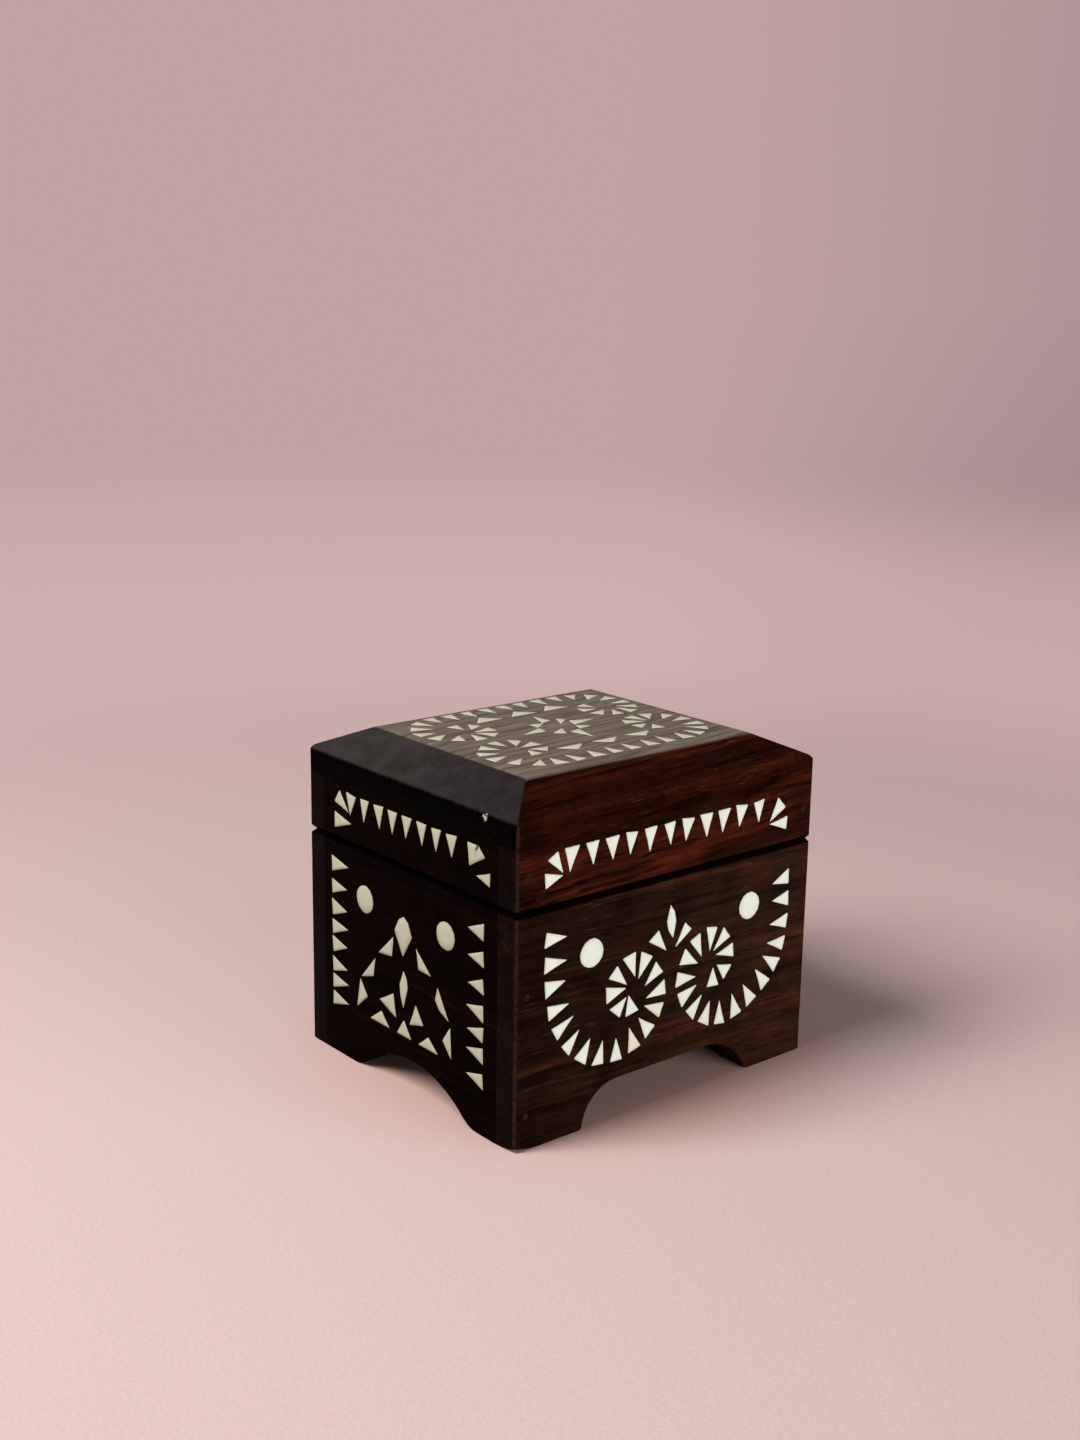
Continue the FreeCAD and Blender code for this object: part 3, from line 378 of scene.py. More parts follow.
@dataclass(frozen=True)
class RosewoodFinish(Finish):
    """Dark oiled rosewood with streaks, pores, scratches and worn edges, whose paleness is also a
    painted highlight.

    Attributes:
        grain: The way that the fibres run.
        dark: Colour of the darkest streaks.
        middle: Colour of most of the wood.
        red: Colour of the reddish streaks.
        redness: How much of the wood is reddish, from 0 to 1.
        shift: Offset in millimetres that gives a board its own figure.
        tilt: How much the grain climbs across the board.
        gloss: Roughness of the oiled surface.
        wear_and_highlight: Strength of the pale worn edges, which also paint a highlight along
            them.
        ends: Brightness at the two ends of its length, which is painted light where they differ.
        end_grain: Brightness of the end grain at the sides of the box.
        ior: Index of refraction of the thin worn polish.
        rubbed: What the pale worn edges add to the colour, partly as painted highlight.
        scratched: Colour of the scratches.
        relief: Depth of the fibres' relief in metres.
    """

    grain: Grain
    dark: Colour = (0.0048, 0.0017, 0.0010)
    middle: Colour = (0.0135, 0.0050, 0.0023)
    red: Colour = (0.032, 0.0098, 0.0044)
    redness: float = 0.3
    shift: float = 0.0
    tilt: float = 0.03
    gloss: float = 0.36
    wear_and_highlight: float = 1.0
    ends: tuple[float, float] = (1.0, 1.0)
    end_grain: float = 0.7
    ior: float = 1.08
    rubbed: Colour = (0.055, 0.036, 0.026)
    scratched: Colour = (0.10, 0.06, 0.042)
    relief: float = 0.00004

    def paint(self, graph: BoxGraph) -> None:
        """Add the finish to a tree.

        Args:
            graph: The tree to add to.
        """
        smudge = graph.noise(graph.spot, scale=0.07, detail=5.0, roughness=0.65)
        streaks = self.fibres(graph)
        figure, fine = streaks["figure"], streaks["fine"]
        mixed = graph.add(graph.times(figure, 0.6), graph.times(fine, 0.4))
        pores = graph.rise(streaks["pores"], 0.60, 0.70)
        scratches = self.scratches(graph)

        colour = self.streaked(graph, mixed, streaks["bands"])
        colour = graph.blend(graph.times(pores, 0.6), colour, self.dark)
        colour = graph.shade(colour, self.brightness(graph, smudge))
        colour = self.aged(graph, colour, mixed)
        # Pale worn edges: partly worn wood and partly a painted highlight along the edges.
        pale = tuple(level + more for level, more in zip(scaled(self.middle, 0.6), self.rubbed))
        rubbed = graph.times(self.rubbing_and_highlight(graph), 0.75 * self.wear_and_highlight)
        colour = graph.blend(rubbed, colour, pale)
        colour = graph.blend(graph.times(scratches, 0.35), colour, self.scratched)
        # Painted shade in the groove along the seam.
        colour = graph.blend(self.seam_groove_shade(graph, fine), colour, scaled(self.dark, 0.15))

        gloss = graph.rise(smudge, 0.3, 0.7, self.gloss - 0.06, self.gloss + 0.08)
        gloss = graph.add(gloss, graph.times(fine, 0.06))
        hollows = graph.add(graph.times(pores, 0.5), graph.times(scratches, 0.4))
        height = graph.less(graph.times(figure, 0.4), hollows)
        height = graph.add(height, graph.times(fine, 0.3))
        graph.close(colour, gloss, height, self.relief, IOR=self.ior)

    def fibres(self, graph: BoxGraph) -> dict[str, Socket]:
        """Noises drawn out along the fibres, which climb with the tilt and wander.

        Args:
            graph: The tree to add to.

        Returns:
            A noise value's socket for each kind of streak.
        """
        along, across, other = (graph.axes[letter] for letter in self.grain.value)
        along = graph.add(along, self.shift)
        wander = graph.noise(graph.joined(graph.times(along, 0.022), self.shift, 0.0), detail=2.0)
        bend = graph.add(graph.times(along, self.tilt), graph.times(graph.less(wander, 0.5), 4.0))
        across, other = graph.add(across, bend), graph.add(other, bend)
        found = {}
        for kind, (length, width, detail) in STREAKS.items():
            stretched = [graph.math("DIVIDE", value, size) for value, size
                         in ((along, length), (across, width), (other, width))]
            found[kind] = graph.noise(graph.joined(*stretched), detail=detail)
        return found

    def streaked(self, graph: BoxGraph, mixed: Socket, bands: Socket) -> Socket:
        """The plain wood and the reddish wood, each from dark to light, in bands.

        Args:
            graph: The tree to add to.
            mixed: The noise of the fibres.
            bands: The noise that parts the plain bands from the reddish ones.

        Returns:
            The colour's socket.
        """
        wood = graph.steps(mixed, ((0.38, self.dark), (0.52, self.middle),
                                   (0.68, scaled(self.middle, 1.5))))
        warm = graph.steps(mixed, ((0.40, self.dark), (0.54, self.red),
                                   (0.68, scaled(self.red, 1.6))))
        lower = 0.35 * self.redness
        return graph.blend(graph.rise(bands, 0.66 - lower, 0.84 - lower), wood, warm)

    def brightness(self, graph: BoxGraph, smudge: Socket) -> Socket:
        """How bright the wood is: from end to end as painted light, on its end grain and in
        smudges.

        Args:
            graph: The tree to add to.
            smudge: The noise of the smudges.

        Returns:
            The brightness's socket.
        """
        along = graph.axes[self.grain.value[0]]
        level = graph.times(graph.rise(along, -graph.half_width, graph.half_width, *self.ends),
                            graph.rise(graph.beside, 0.2, 1.2, self.end_grain, 1.0))
        return graph.times(level, graph.rise(smudge, 0.3, 0.62, 0.55, 1.15))

    def aged(self, graph: BoxGraph, colour: Socket, fibre: Socket) -> Socket:
        """What the years did to the colour of this board; nothing on a plain one.

        Args:
            graph: The tree to add to.
            colour: The wood's colour.
            fibre: The noise of its fibres.

        Returns:
            The aged colour's socket.
        """
        return colour

    def rubbing_and_highlight(self, graph: BoxGraph) -> Socket:
        """Wear along the upright edges and the shoulders, broken up by noise, which also paints a
        highlight along these edges.

        A point's distance from an edge is the sum of its distances from the two faces
        that meet there.

        Args:
            graph: The tree to add to.

        Returns:
            The mask's socket.
        """
        broken = graph.noise(graph.spot, scale=0.45, detail=4.0, roughness=0.7)
        chance = graph.times(graph.less(broken, 0.5), 3.2)
        upright = graph.add(graph.add(graph.beside, graph.behind), graph.times(chance, 0.35))
        gap = graph.absolute(graph.less(graph.axes["Z"], graph.shoulder))
        nearest = graph.math("MINIMUM", graph.beside, graph.behind)
        sloping = graph.add(graph.add(gap, nearest), chance)
        most = graph.math("MAXIMUM", graph.rise(upright, 0.68, 0.92, 0.6, 0.0),
                          graph.rise(sloping, 0.4, 1.2, 0.3, 0.0))
        return graph.times(most, graph.rise(broken, 0.35, 0.6, 0.25, 1.0))

    def scratches(self, graph: BoxGraph) -> Socket:
        """Sparse short hair-fine scratches in two directions.

        Args:
            graph: The tree to add to.

        Returns:
            The mask's socket.
        """
        runs = [graph.noise(graph.mapped(graph.spot, *run), detail=1.0) for run in SCRATCH_RUNS]
        masks = [graph.rise(run, 0.70, 0.75) for run in runs]
        patches = graph.rise(graph.noise(graph.spot, scale=0.05, detail=2.0), 0.42, 0.6)
        return graph.times(graph.math("MAXIMUM", *masks), patches)

    def seam_groove_shade(self, graph: BoxGraph, fine: Socket) -> Socket:
        """Painted shade in the groove along the seam, near the outside of the box.

        Args:
            graph: The tree to add to.
            fine: The noise that makes its edge uneven.

        Returns:
            The mask's socket.
        """
        gap = graph.absolute(graph.less(graph.axes["Z"], graph.seam))
        # This mask is painted shade in the groove of the seam.
        dirt = graph.rise(graph.add(gap, graph.times(fine, 0.3)), 0.9, 1.5, 0.95, 0.0)
        inward = graph.math("MINIMUM", graph.beside, graph.behind)
        return graph.times(dirt, graph.rise(inward, 1.3, 2.6, 1.0, 0.0))


@dataclass(frozen=True)
class LidTopFinish(RosewoodFinish):
    """The top board: a faded, dusty flat lightened by painted sheen, blackened ends with a grey
    painted sheen on their bevels, and a chip out of one of them.

    Attributes:
        dust_and_sheen: Colour of the faded, dusty wood between the fibres of the flat, made
            lighter as painted sheen.
        bloom_and_sheen: Colour of the faded fibres themselves, made lighter as painted sheen.
        ends_sheen: Colour of the end grain on the bevels of the two ends, grey as painted sheen.
        ends_black: Colour of the blackened upright edge under them.
        chip: Where a splinter of the end is missing, in millimetres.
        bare: Colour of the bare wood in the chip.
    """

    dust_and_sheen: Colour = (0.086, 0.064, 0.046)
    bloom_and_sheen: Colour = (0.210, 0.184, 0.143)
    ends_sheen: Colour = (0.042, 0.036, 0.036)
    ends_black: Colour = (0.0003, 0.0002, 0.0002)
    chip: Point = (-51.0, -32.0, 82.4)
    bare: Colour = (0.42, 0.36, 0.28)

    def aged(self, graph: BoxGraph, colour: Socket, fibre: Socket) -> Socket:
        """The flat fades and is lightened as painted sheen, the ends are black under a grey
        painted sheen on their bevels, and the chip shows bare wood.

        The ends are where a point lies nearer to an end than to the front and the back.

        Args:
            graph: The tree to add to.
            colour: The wood's colour.
            fibre: The noise of its fibres.

        Returns:
            The aged colour's socket.
        """
        height, top = graph.axes["Z"], graph.shoulder + BEVEL_RISE
        # Painted sheen: the flat is lightened past its faded, dusty tone, standing in for its
        # reflection at grazing angles.
        faded = graph.blend(graph.rise(fibre, 0.35, 0.62), self.dust_and_sheen, self.bloom_and_sheen)
        colour = graph.blend(graph.rise(height, top - 0.7, top - 0.15, 0.0, 0.9), colour, faded)

        nearer = graph.rise(graph.less(graph.beside, graph.behind), -0.5, 0.1, 1.0, 0.0)
        outside = graph.rise(graph.beside, BEVEL_RUN - 0.9, BEVEL_RUN - 0.1, 1.0, 0.0)
        # Painted sheen on the bevels of the ends: grey with darker smudges, and darker towards the
        # front.
        cloud = graph.noise(graph.spot, scale=0.16, detail=5.0, roughness=0.65)
        forward = graph.rise(graph.axes["Y"], 0.6 * graph.half_depth, -graph.half_depth, 0.0, 0.3)
        grey_sheen = graph.blend(graph.rise(graph.add(cloud, forward), 0.2, 1.0), self.ends_sheen,
                            scaled(self.ends_sheen, 0.4))
        upright = graph.rise(height, graph.shoulder - 0.9, graph.shoulder, 1.0, 0.0)
        blackened = graph.blend(upright, grey_sheen, self.ends_black)
        colour = graph.blend(graph.times(nearer, outside), colour, blackened)

        away = graph.node("VectorMath", {0: graph.spot, 1: self.chip},
                          operation="DISTANCE").outputs["Value"]
        ragged = graph.noise(graph.spot, scale=1.1, detail=4.0, roughness=0.7)
        away = graph.add(away, graph.times(ragged, 5.0))
        return graph.blend(graph.rise(away, 3.1, 3.4, 1.0, 0.0), colour, self.bare)


@dataclass(frozen=True)
class BoneFinish(Finish):
    """Polished bone, each piece a little different, with fine lines along its length.

    Attributes:
        pale: Colour of the clearest pieces.
        creamy: Colour of the yellower pieces.
        stain: Colour of old glue and dirt near the outline.
        crack: The middle of an upright crack on an end of the box, in millimetres.
        relief: Depth of the fine lines in metres.
    """

    pale: Colour = (0.77, 0.83, 0.72)
    creamy: Colour = (0.74, 0.70, 0.48)
    stain: Colour = (0.36, 0.25, 0.13)
    crack: Optional[Point] = None
    relief: float = 0.00002

    def paint(self, graph: BoxGraph) -> None:
        """Add the finish to a tree.

        Args:
            graph: The tree to add to.
        """
        tone = graph.node("Attribute", attribute_name="tone").outputs["Fac"]
        rim = graph.node("Attribute", attribute_name="rim").outputs["Fac"]
        cut = graph.node("UVMap", uv_map="cut").outputs[0]
        lines = graph.noise(graph.mapped(cut, (0, 0, 0), (0.5, 9.0, 1.0)), detail=2.0)
        clouds = graph.noise(graph.spot, scale=0.35, detail=3.0)
        yellow = graph.times(graph.rise(tone, 0.85, 1.0), 0.6)
        colour = graph.blend(yellow, self.pale, self.creamy)
        colour = graph.blend(graph.rise(clouds, 0.5, 0.8, 0.0, 0.3), colour, self.creamy)
        colour = graph.blend(graph.rise(lines, 0.55, 0.8, 0.0, 0.22), colour, self.stain)
        dirt = graph.times(graph.rise(rim, 0.80, 1.0), graph.rise(clouds, 0.3, 0.6))
        colour = graph.blend(graph.times(dirt, 0.45), colour, self.stain)
        if self.crack:
            colour = graph.blend(self.cracked(graph), colour, scaled(self.stain, 0.1))
        gloss = graph.rise(clouds, 0.3, 0.7, 0.32, 0.46)
        graph.close(colour, gloss, lines, self.relief, IOR=1.45)

    def cracked(self, graph: BoxGraph) -> Socket:
        """A ragged upright crack round its middle, wider at its top.

        Args:
            graph: The tree to add to.

        Returns:
            The mask's socket.
        """
        local = graph.node("VectorMath", {0: graph.spot, 1: self.crack},
                           operation="SUBTRACT").outputs[0]
        axes = graph.parts(local)
        ragged = graph.noise(local, scale=0.7, detail=4.0, roughness=0.7)
        ragged = graph.times(graph.less(ragged, 0.5), 2.4)
        leaning = graph.add(axes["Y"], graph.times(axes["Z"], 0.5))
        aside = graph.absolute(graph.add(leaning, ragged))
        wedge = graph.less(aside, graph.times(axes["Z"], 0.12))
        reach = graph.node("VectorMath", {0: local}, operation="LENGTH").outputs["Value"]
        return graph.times(graph.rise(wedge, 0.12, 0.42, 0.95, 0.0),
                           graph.rise(reach, 3.6, 4.6, 1.0, 0.0))


@dataclass(frozen=True)
class BrassFinish(Finish):
    """Old brass with brown tarnish and brushed marks.

    Attributes:
        clean: Colour of the rubbed metal.
        tarnish: Colour of the dull patches.
        relief: Depth of the brushed marks in metres.
    """

    clean: Colour = (0.43, 0.325, 0.125)
    tarnish: Colour = (0.060, 0.040, 0.020)
    relief: float = 0.00001

    def paint(self, graph: BoxGraph) -> None:
        """Add the finish to a tree.

        Args:
            graph: The tree to add to.
        """
        patches = graph.noise(graph.spot, scale=0.35, detail=6.0, roughness=0.65)
        marks = graph.noise(graph.mapped(graph.spot, (0, 0, 0.1), (0.5, 8.0, 8.0)), detail=2.0)
        dull = graph.rise(patches, 0.36, 0.62, 0.1, 1.0)
        colour = graph.blend(dull, self.clean, self.tarnish)
        gloss = graph.add(graph.rise(dull, 0.0, 1.0, 0.26, 0.5), graph.times(marks, 0.1))
        graph.close(colour, gloss, marks, self.relief, Metallic=1.0)


@dataclass(frozen=True)
class NailFinish(Finish):
    """Small iron nail heads, browned and filled over.

    Attributes:
        iron: Colour of the metal that shows.
        filler: Colour of the wax and dirt over it.
        relief: Depth of the pits in metres.
    """

    iron: Colour = (0.024, 0.016, 0.012)
    filler: Colour = (0.012, 0.006, 0.004)
    relief: float = 0.00004

    def paint(self, graph: BoxGraph) -> None:
        """Add the finish to a tree.

        Args:
            graph: The tree to add to.
        """
        spots = graph.noise(graph.spot, scale=1.6, detail=3.0)
        colour = graph.blend(graph.rise(spots, 0.4, 0.6), self.iron, self.filler)
        gloss = graph.rise(spots, 0.3, 0.7, 0.45, 0.65)
        graph.close(colour, gloss, spots, self.relief, IOR=1.12)


@dataclass(frozen=True)
class FeltFinish(Finish):
    """Wool felt: matted fibres with thin worn patches and hardly any sheen.

    Attributes:
        body: Colour of the cloth.
        fibre: Colour of the fibres that stand up.
        relief: Height of the fibres in metres.
    """

    body: Colour = (0.050, 0.0055, 0.0075)
    fibre: Colour = (0.165, 0.021, 0.026)
    relief: float = 0.0005

    def paint(self, graph: BoxGraph) -> None:
        """Add the finish to a tree.

        Args:
            graph: The tree to add to.
        """
        matted = graph.noise(graph.spot, scale=0.9, detail=7.0, roughness=0.8, distortion=2.0)
        worn = graph.noise(graph.spot, scale=0.05, detail=4.0, roughness=0.6)
        colour = graph.blend(graph.rise(matted, 0.38, 0.68), self.body, self.fibre)
        colour = graph.blend(graph.rise(worn, 0.45, 0.75, 0.0, 0.5), colour, self.body)
        graph.close(colour, 0.95, matted, self.relief, Sheen_Weight=0.06,
                           Sheen_Roughness=0.5)


# ---------------------------------------------------------------- meshes


def write_mesh(name: str, points: np.ndarray, quads: np.ndarray,
               triangles: Optional[np.ndarray] = None) -> bpy.types.Object:
    """Put arrays into a new mesh object at the origin.

    Args:
        name: The object's name.
        points: The vertices, one row each.
        quads: Four-sided faces as rows of vertex numbers.
        triangles: Three-sided faces as rows of vertex numbers.

    Returns:
        The linked object.
    """
    if triangles is None:
        triangles = np.zeros((0, 3), int)
    loops = np.concatenate([quads.ravel(), triangles.ravel()]).astype(np.int32)
    totals = np.concatenate([np.full(len(quads), 4), np.full(len(triangles), 3)])
    starts = np.concatenate([[0], np.cumsum(totals)[:-1]]).astype(np.int32)
    mesh = bpy.data.meshes.new(name)
    mesh.vertices.add(len(points))
    mesh.vertices.foreach_set("co", points.astype(np.float32).ravel())
    mesh.loops.add(len(loops))
    mesh.loops.foreach_set("vertex_index", loops)
    mesh.polygons.add(len(totals))
    mesh.polygons.foreach_set("loop_start", starts)
    mesh.update(calc_edges=True)
    mesh.validate()
    made = bpy.data.objects.new(name, mesh)
    bpy.context.scene.collection.objects.link(made)
    return made


def grid_quads(rows: int, columns: int, closed: bool) -> np.ndarray:
    """Faces between the neighbours of a grid of points.

    Args:
        rows: How many rows the grid has.
        columns: How many points a row has.
        closed: Whether the last column joins the first.

    Returns:
        Rows of four vertex numbers.
    """
    row, column = np.meshgrid(np.arange(rows - 1), np.arange(columns - (not closed)),
                              indexing="ij")
    beside = (column + 1) % columns
    return np.stack([row * columns + column, row * columns + beside,
                     (row + 1) * columns + beside, (row + 1) * columns + column],
                    axis=-1).reshape(-1, 4)


# ---------------------------------------------------------------- inlay

# How much of the rim's dirt each ring of a piece takes, from its base to its face.
RIM_SHARES = (1.0, 1.0, 0.93, 0.3)


@dataclass
class InlayGroup:
    """A group of bone pieces let into one face, cut again by hand over their CAD shapes.

    Attributes:
        node: The CAD node that the pieces stand for.
        side: The face that they lie in.
        body: The CAD body that they ride on.
        corner: How far from a corner its rounding starts, in metres.
        wobble: How far the edges bend, in metres.
        rim_drop: How far the rubbed rim lies under the face, in metres.
        rim_width: Width of the rubbed rim, in metres.
        depth: Thickness of a piece, in metres.
        taper: How wide it is at its base, as a share of its face.
        crown: Where the ring inside its face lies, from its middle to its outline.
    """

    node: str
    side: Side
    body: str
    corner: float = 0.35 * MM
    wobble: float = 0.07 * MM
    rim_drop: float = 0.05 * MM
    rim_width: float = 0.10 * MM
    depth: float = 0.95 * MM
    taper: float = 0.985
    crown: float = 0.45

    def outlines(self) -> list[np.ndarray]:
        """The corners of each piece in the face's plane, in order round the piece.

        A copy of the CAD mesh is merged, split into islands by spreading the lowest
        vertex number along its edges, and the points of the outermost level are sorted
        by their angle about their middle.

        Returns:
            One array of corners for each piece.
        """
        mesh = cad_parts[self.node].data
        points = np.zeros(len(mesh.vertices) * 3, np.float32)
        mesh.vertices.foreach_get("co", points)
        points = points.reshape(-1, 3).astype(float)
        corners = np.zeros(len(mesh.loops), np.int32)
        mesh.loops.foreach_get("vertex_index", corners)
        keys, first, merged = np.unique(np.round(points / (0.002 * MM)).astype(np.int64), axis=0,
                                        return_index=True, return_inverse=True)
        triangles = merged.ravel()[corners].reshape(-1, 3)
        points = points[first]
        label = np.arange(len(keys))
        while True:
            lowest = label[triangles].min(axis=1)
            spread = label.copy()
            np.minimum.at(spread, triangles, lowest[:, None])
            if np.array_equal(spread, label):
                break
            label = spread
        height = points @ self.side.outward
        flat = np.stack([points @ self.side.right, points @ self.side.up], axis=1)
        self.level = float(height.max())
        outer = height > self.level - 0.05 * MM
        found = []
        for piece in np.unique(label):
            ring = flat[(label == piece) & outer]
            offset = ring - ring.mean(axis=0)
            found.append(ring[np.argsort(np.arctan2(offset[:, 1], offset[:, 0]))])
        return found

    def softened(self, ring: np.ndarray, chance: np.random.Generator) -> np.ndarray:
        """The outline with rounded corners and slightly bent edges.

        Each corner becomes three points of a small curve, and each edge gets one point
        at its middle, moved sideways by a random part of the wobble.

        Args:
            ring: The corners in order.
            chance: The random source.

        Returns:
            Four points for each corner.
        """
        before = np.roll(ring, 1, axis=0) - ring
        after = np.roll(ring, -1, axis=0) - ring
        back = np.linalg.norm(before, axis=1, keepdims=True)
        ahead = np.linalg.norm(after, axis=1, keepdims=True)
        start = ring + before / back * np.minimum(self.corner, 0.3 * back)
        end = ring + after / ahead * np.minimum(self.corner, 0.3 * ahead)
        middle = 0.25 * start + 0.5 * ring + 0.25 * end
        aside = np.stack([after[:, 1], -after[:, 0]], axis=1) / ahead
        bend = chance.uniform(-1.0, 0.5, (len(ring), 1)) * np.minimum(self.wobble, 0.02 * ahead)
        halfway = ring + after / 2 + aside * bend
        return np.stack([start, middle, end, halfway], axis=1).reshape(-1, 2)

    def solid(self, outline: np.ndarray) -> tuple[np.ndarray, np.ndarray, np.ndarray]:
        """The closed surface of one piece over a radius and an angle.

        It goes from its base up its wall, over a rubbed rim and on to the middle of its
        face, with a pole at each end.

        Args:
            outline: The points round the piece in the face's plane.

        Returns:
            Its points in the face's plane with their depth, its quads and its triangles.
        """
        middle = outline.mean(axis=0)
        reach = np.linalg.norm(outline - middle, axis=1).mean()
        shares = np.array([self.taper, self.taper, 1.0 - self.rim_width / reach, self.crown])
        sink = np.array([self.depth, self.rim_drop + 0.05 * MM, self.rim_drop * 0.4, 0.0])
        flat = middle + shares[:, None, None] * (outline - middle)
        flat = np.concatenate([flat.reshape(-1, 2), middle[None], middle[None]])
        under = np.concatenate([np.repeat(sink, len(outline)), [self.depth, 0.0]])
        size, rows = len(outline), len(shares)
        numbers = np.arange(size)
        beside = (numbers + 1) % size
        last = (rows - 1) * size
        fans = [np.stack([beside, numbers, np.full(size, rows * size)], axis=1),
                np.stack([last + numbers, last + beside, np.full(size, rows * size + 1)], axis=1)]
        return (np.column_stack([flat, under]), grid_quads(rows, size, True),
                np.concatenate(fans))

    def build(self, finish: bpy.types.Material) -> bpy.types.Object:
        """Make the pieces as one object.

        Args:
            finish: The bone material.

        Returns:
            The object that stands for the CAD node.
        """
        chance = np.random.default_rng(sum(self.node.encode()))
        points, quads, fans, tones, rims, cuts = [], [], [], [], [], []
        count = 0
        for ring in self.outlines():
            outline = self.softened(ring, chance)
            places, faces, ends = self.solid(outline)
            points.append(places[:, :1] * self.side.right + places[:, 1:2] * self.side.up
                          + (self.level - places[:, 2:]) * self.side.outward)
            quads.append(faces + count)
            fans.append(ends + count)
            grain = np.linalg.svd(ring - ring.mean(axis=0), full_matrices=False)[2][0]
            offset = places[:, :2] - outline.mean(axis=0)
            cuts.append(offset @ np.array([grain, (-grain[1], grain[0])]).T / MM
                        + chance.uniform(0, 40, 2))
            rims.append(np.concatenate([np.repeat(RIM_SHARES, len(outline)), [1.0, 0.0]]))
            tones.append(np.full(len(places), chance.uniform()))
            count += len(places)
        piece = write_mesh(self.node + "_cut", np.concatenate(points), np.concatenate(quads),
                           np.concatenate(fans))
        for name, values in (("tone", tones), ("rim", rims)):
            attribute = piece.data.attributes.new(name, "FLOAT", "POINT")
            attribute.data.foreach_set("value", np.concatenate(values).astype(np.float32))
        corners = np.zeros(len(piece.data.loops), np.int32)
        piece.data.loops.foreach_get("vertex_index", corners)
        layer = piece.data.uv_layers.new(name="cut")
        layer.data.foreach_set("uv", np.concatenate(cuts)[corners].astype(np.float32).ravel())
        piece.data.materials.append(finish)
        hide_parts(self.node)
        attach(piece, self.body)
        log.info("%s: %d pieces", piece.name, len(tones))
        return piece


# ---------------------------------------------------------------- linings


@dataclass
class FeltLining:
    """A sheet of felt laid on the floor of the box or stretched under the lid.

    Attributes:
        node: The CAD node that it stands for.
        body: The CAD body that it rides on.
        facing: 1 where its face looks up, -1 where it looks down.
        held: How the sheet is held; not used.
        rests_on: The board that it is glued to; not used.
        ripple: Height of its unevenness, in metres.
        pressed: Width of the edge that is pressed down, as a share of a side.
        steps: Points along each side of the sheet.
    """

    node: str
    body: str
    facing: int
    held: str
    rests_on: str
    ripple: float = 0.22 * MM
    pressed: float = 0.02
    steps: int = 72

    def build(self, finish: bpy.types.Material) -> bpy.types.Object:
        """Make the sheet.

        Its face is a grid over the board. The height falls at the edges, where the cloth
        was pressed down, and ripples by a few sine waves of different lengths.

        Args:
            finish: The felt material.

        Returns:
            The object that stands for the CAD node.
        """
        low, high = (np.array(corner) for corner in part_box(self.node))
        share = np.linspace(0.0, 1.0, self.steps)
        across, along = np.meshgrid(share, share, indexing="ij")
        edge = np.minimum(np.minimum(across, 1 - across), np.minimum(along, 1 - along))
        free = 1.0 - np.exp(-edge / self.pressed)
        waves = (np.sin(7.1 * across + 3.0 * along) + np.sin(11.3 * along - 4.7 * across + 1.0)
                 + 0.6 * np.sin(23.0 * across * along + 2.0)) / 2.6
        thickness = high[2] - low[2]
        rise = thickness - self.ripple * (1.0 - free * (0.5 + 0.5 * waves))
        x = low[0] + (high[0] - low[0]) * across
        y = low[1] + (high[1] - low[1]) * along
        face, back = (low[2], low[2] + rise) if self.facing > 0 else (high[2] - rise, high[2])
        under = np.stack([x, y, np.broadcast_to(face, x.shape)], axis=-1).reshape(-1, 3)
        over = np.stack([x, y, np.broadcast_to(back, x.shape)], axis=-1).reshape(-1, 3)
        quads = grid_quads(self.steps, self.steps, False)
        count = self.steps * self.steps
        numbers = np.arange(count).reshape(self.steps, self.steps)
        border = np.concatenate([numbers[0, :-1], numbers[:-1, -1], numbers[-1, :0:-1],
                                 numbers[:0:-1, 0]])
        ahead = np.roll(border, -1)
        wall = np.stack([ahead, border, border + count, ahead + count], axis=1)
        piece = write_mesh(self.node + "_felt", np.concatenate([under, over]),
                           np.concatenate([quads, quads[:, ::-1] + count, wall]))
        piece.data.polygons.foreach_set("use_smooth", np.ones(len(piece.data.polygons), bool))
        normals_outward(piece)
        piece.data.materials.append(finish)
        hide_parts(self.node)
        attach(piece, self.body)
        log.info("%s: %d faces", piece.name, len(piece.data.polygons))
        return piece


def normals_outward(piece: bpy.types.Object) -> None:
    """Turn the faces of a closed mesh outward.

    Args:
        piece: The object whose mesh is turned.
    """
    work = bmesh.new()
    work.from_mesh(piece.data)
    bmesh.ops.recalc_face_normals(work, faces=work.faces)
    work.to_mesh(piece.data)
    work.free()


# ---------------------------------------------------------------- pieces


def dress(node: str, finish: bpy.types.Material) -> None:
    """Give a CAD node its material.

    Args:
        node: The node's name.
        finish: The material.
    """
    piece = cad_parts[node]
    if not piece.material_slots:
        piece.data.materials.append(finish)
    for slot in piece.material_slots:
        slot.material = finish
    log.info("%s: %s", node, finish.name)


# The boards of the left end: a blackened finish, made darker still as painted shade; the right end
# keeps plain rosewood.
BLACKENED_AND_SHADED = {"dark": (0.0010, 0.0004, 0.0004), "middle": (0.0042, 0.0013, 0.0009),
             "red": (0.012, 0.0024, 0.0014), "ior": 1.04}
LID_TONES = {"dark": (0.0024, 0.0008, 0.0005), "middle": (0.0180, 0.0036, 0.0013),
             "red": (0.054, 0.0094, 0.0027)}

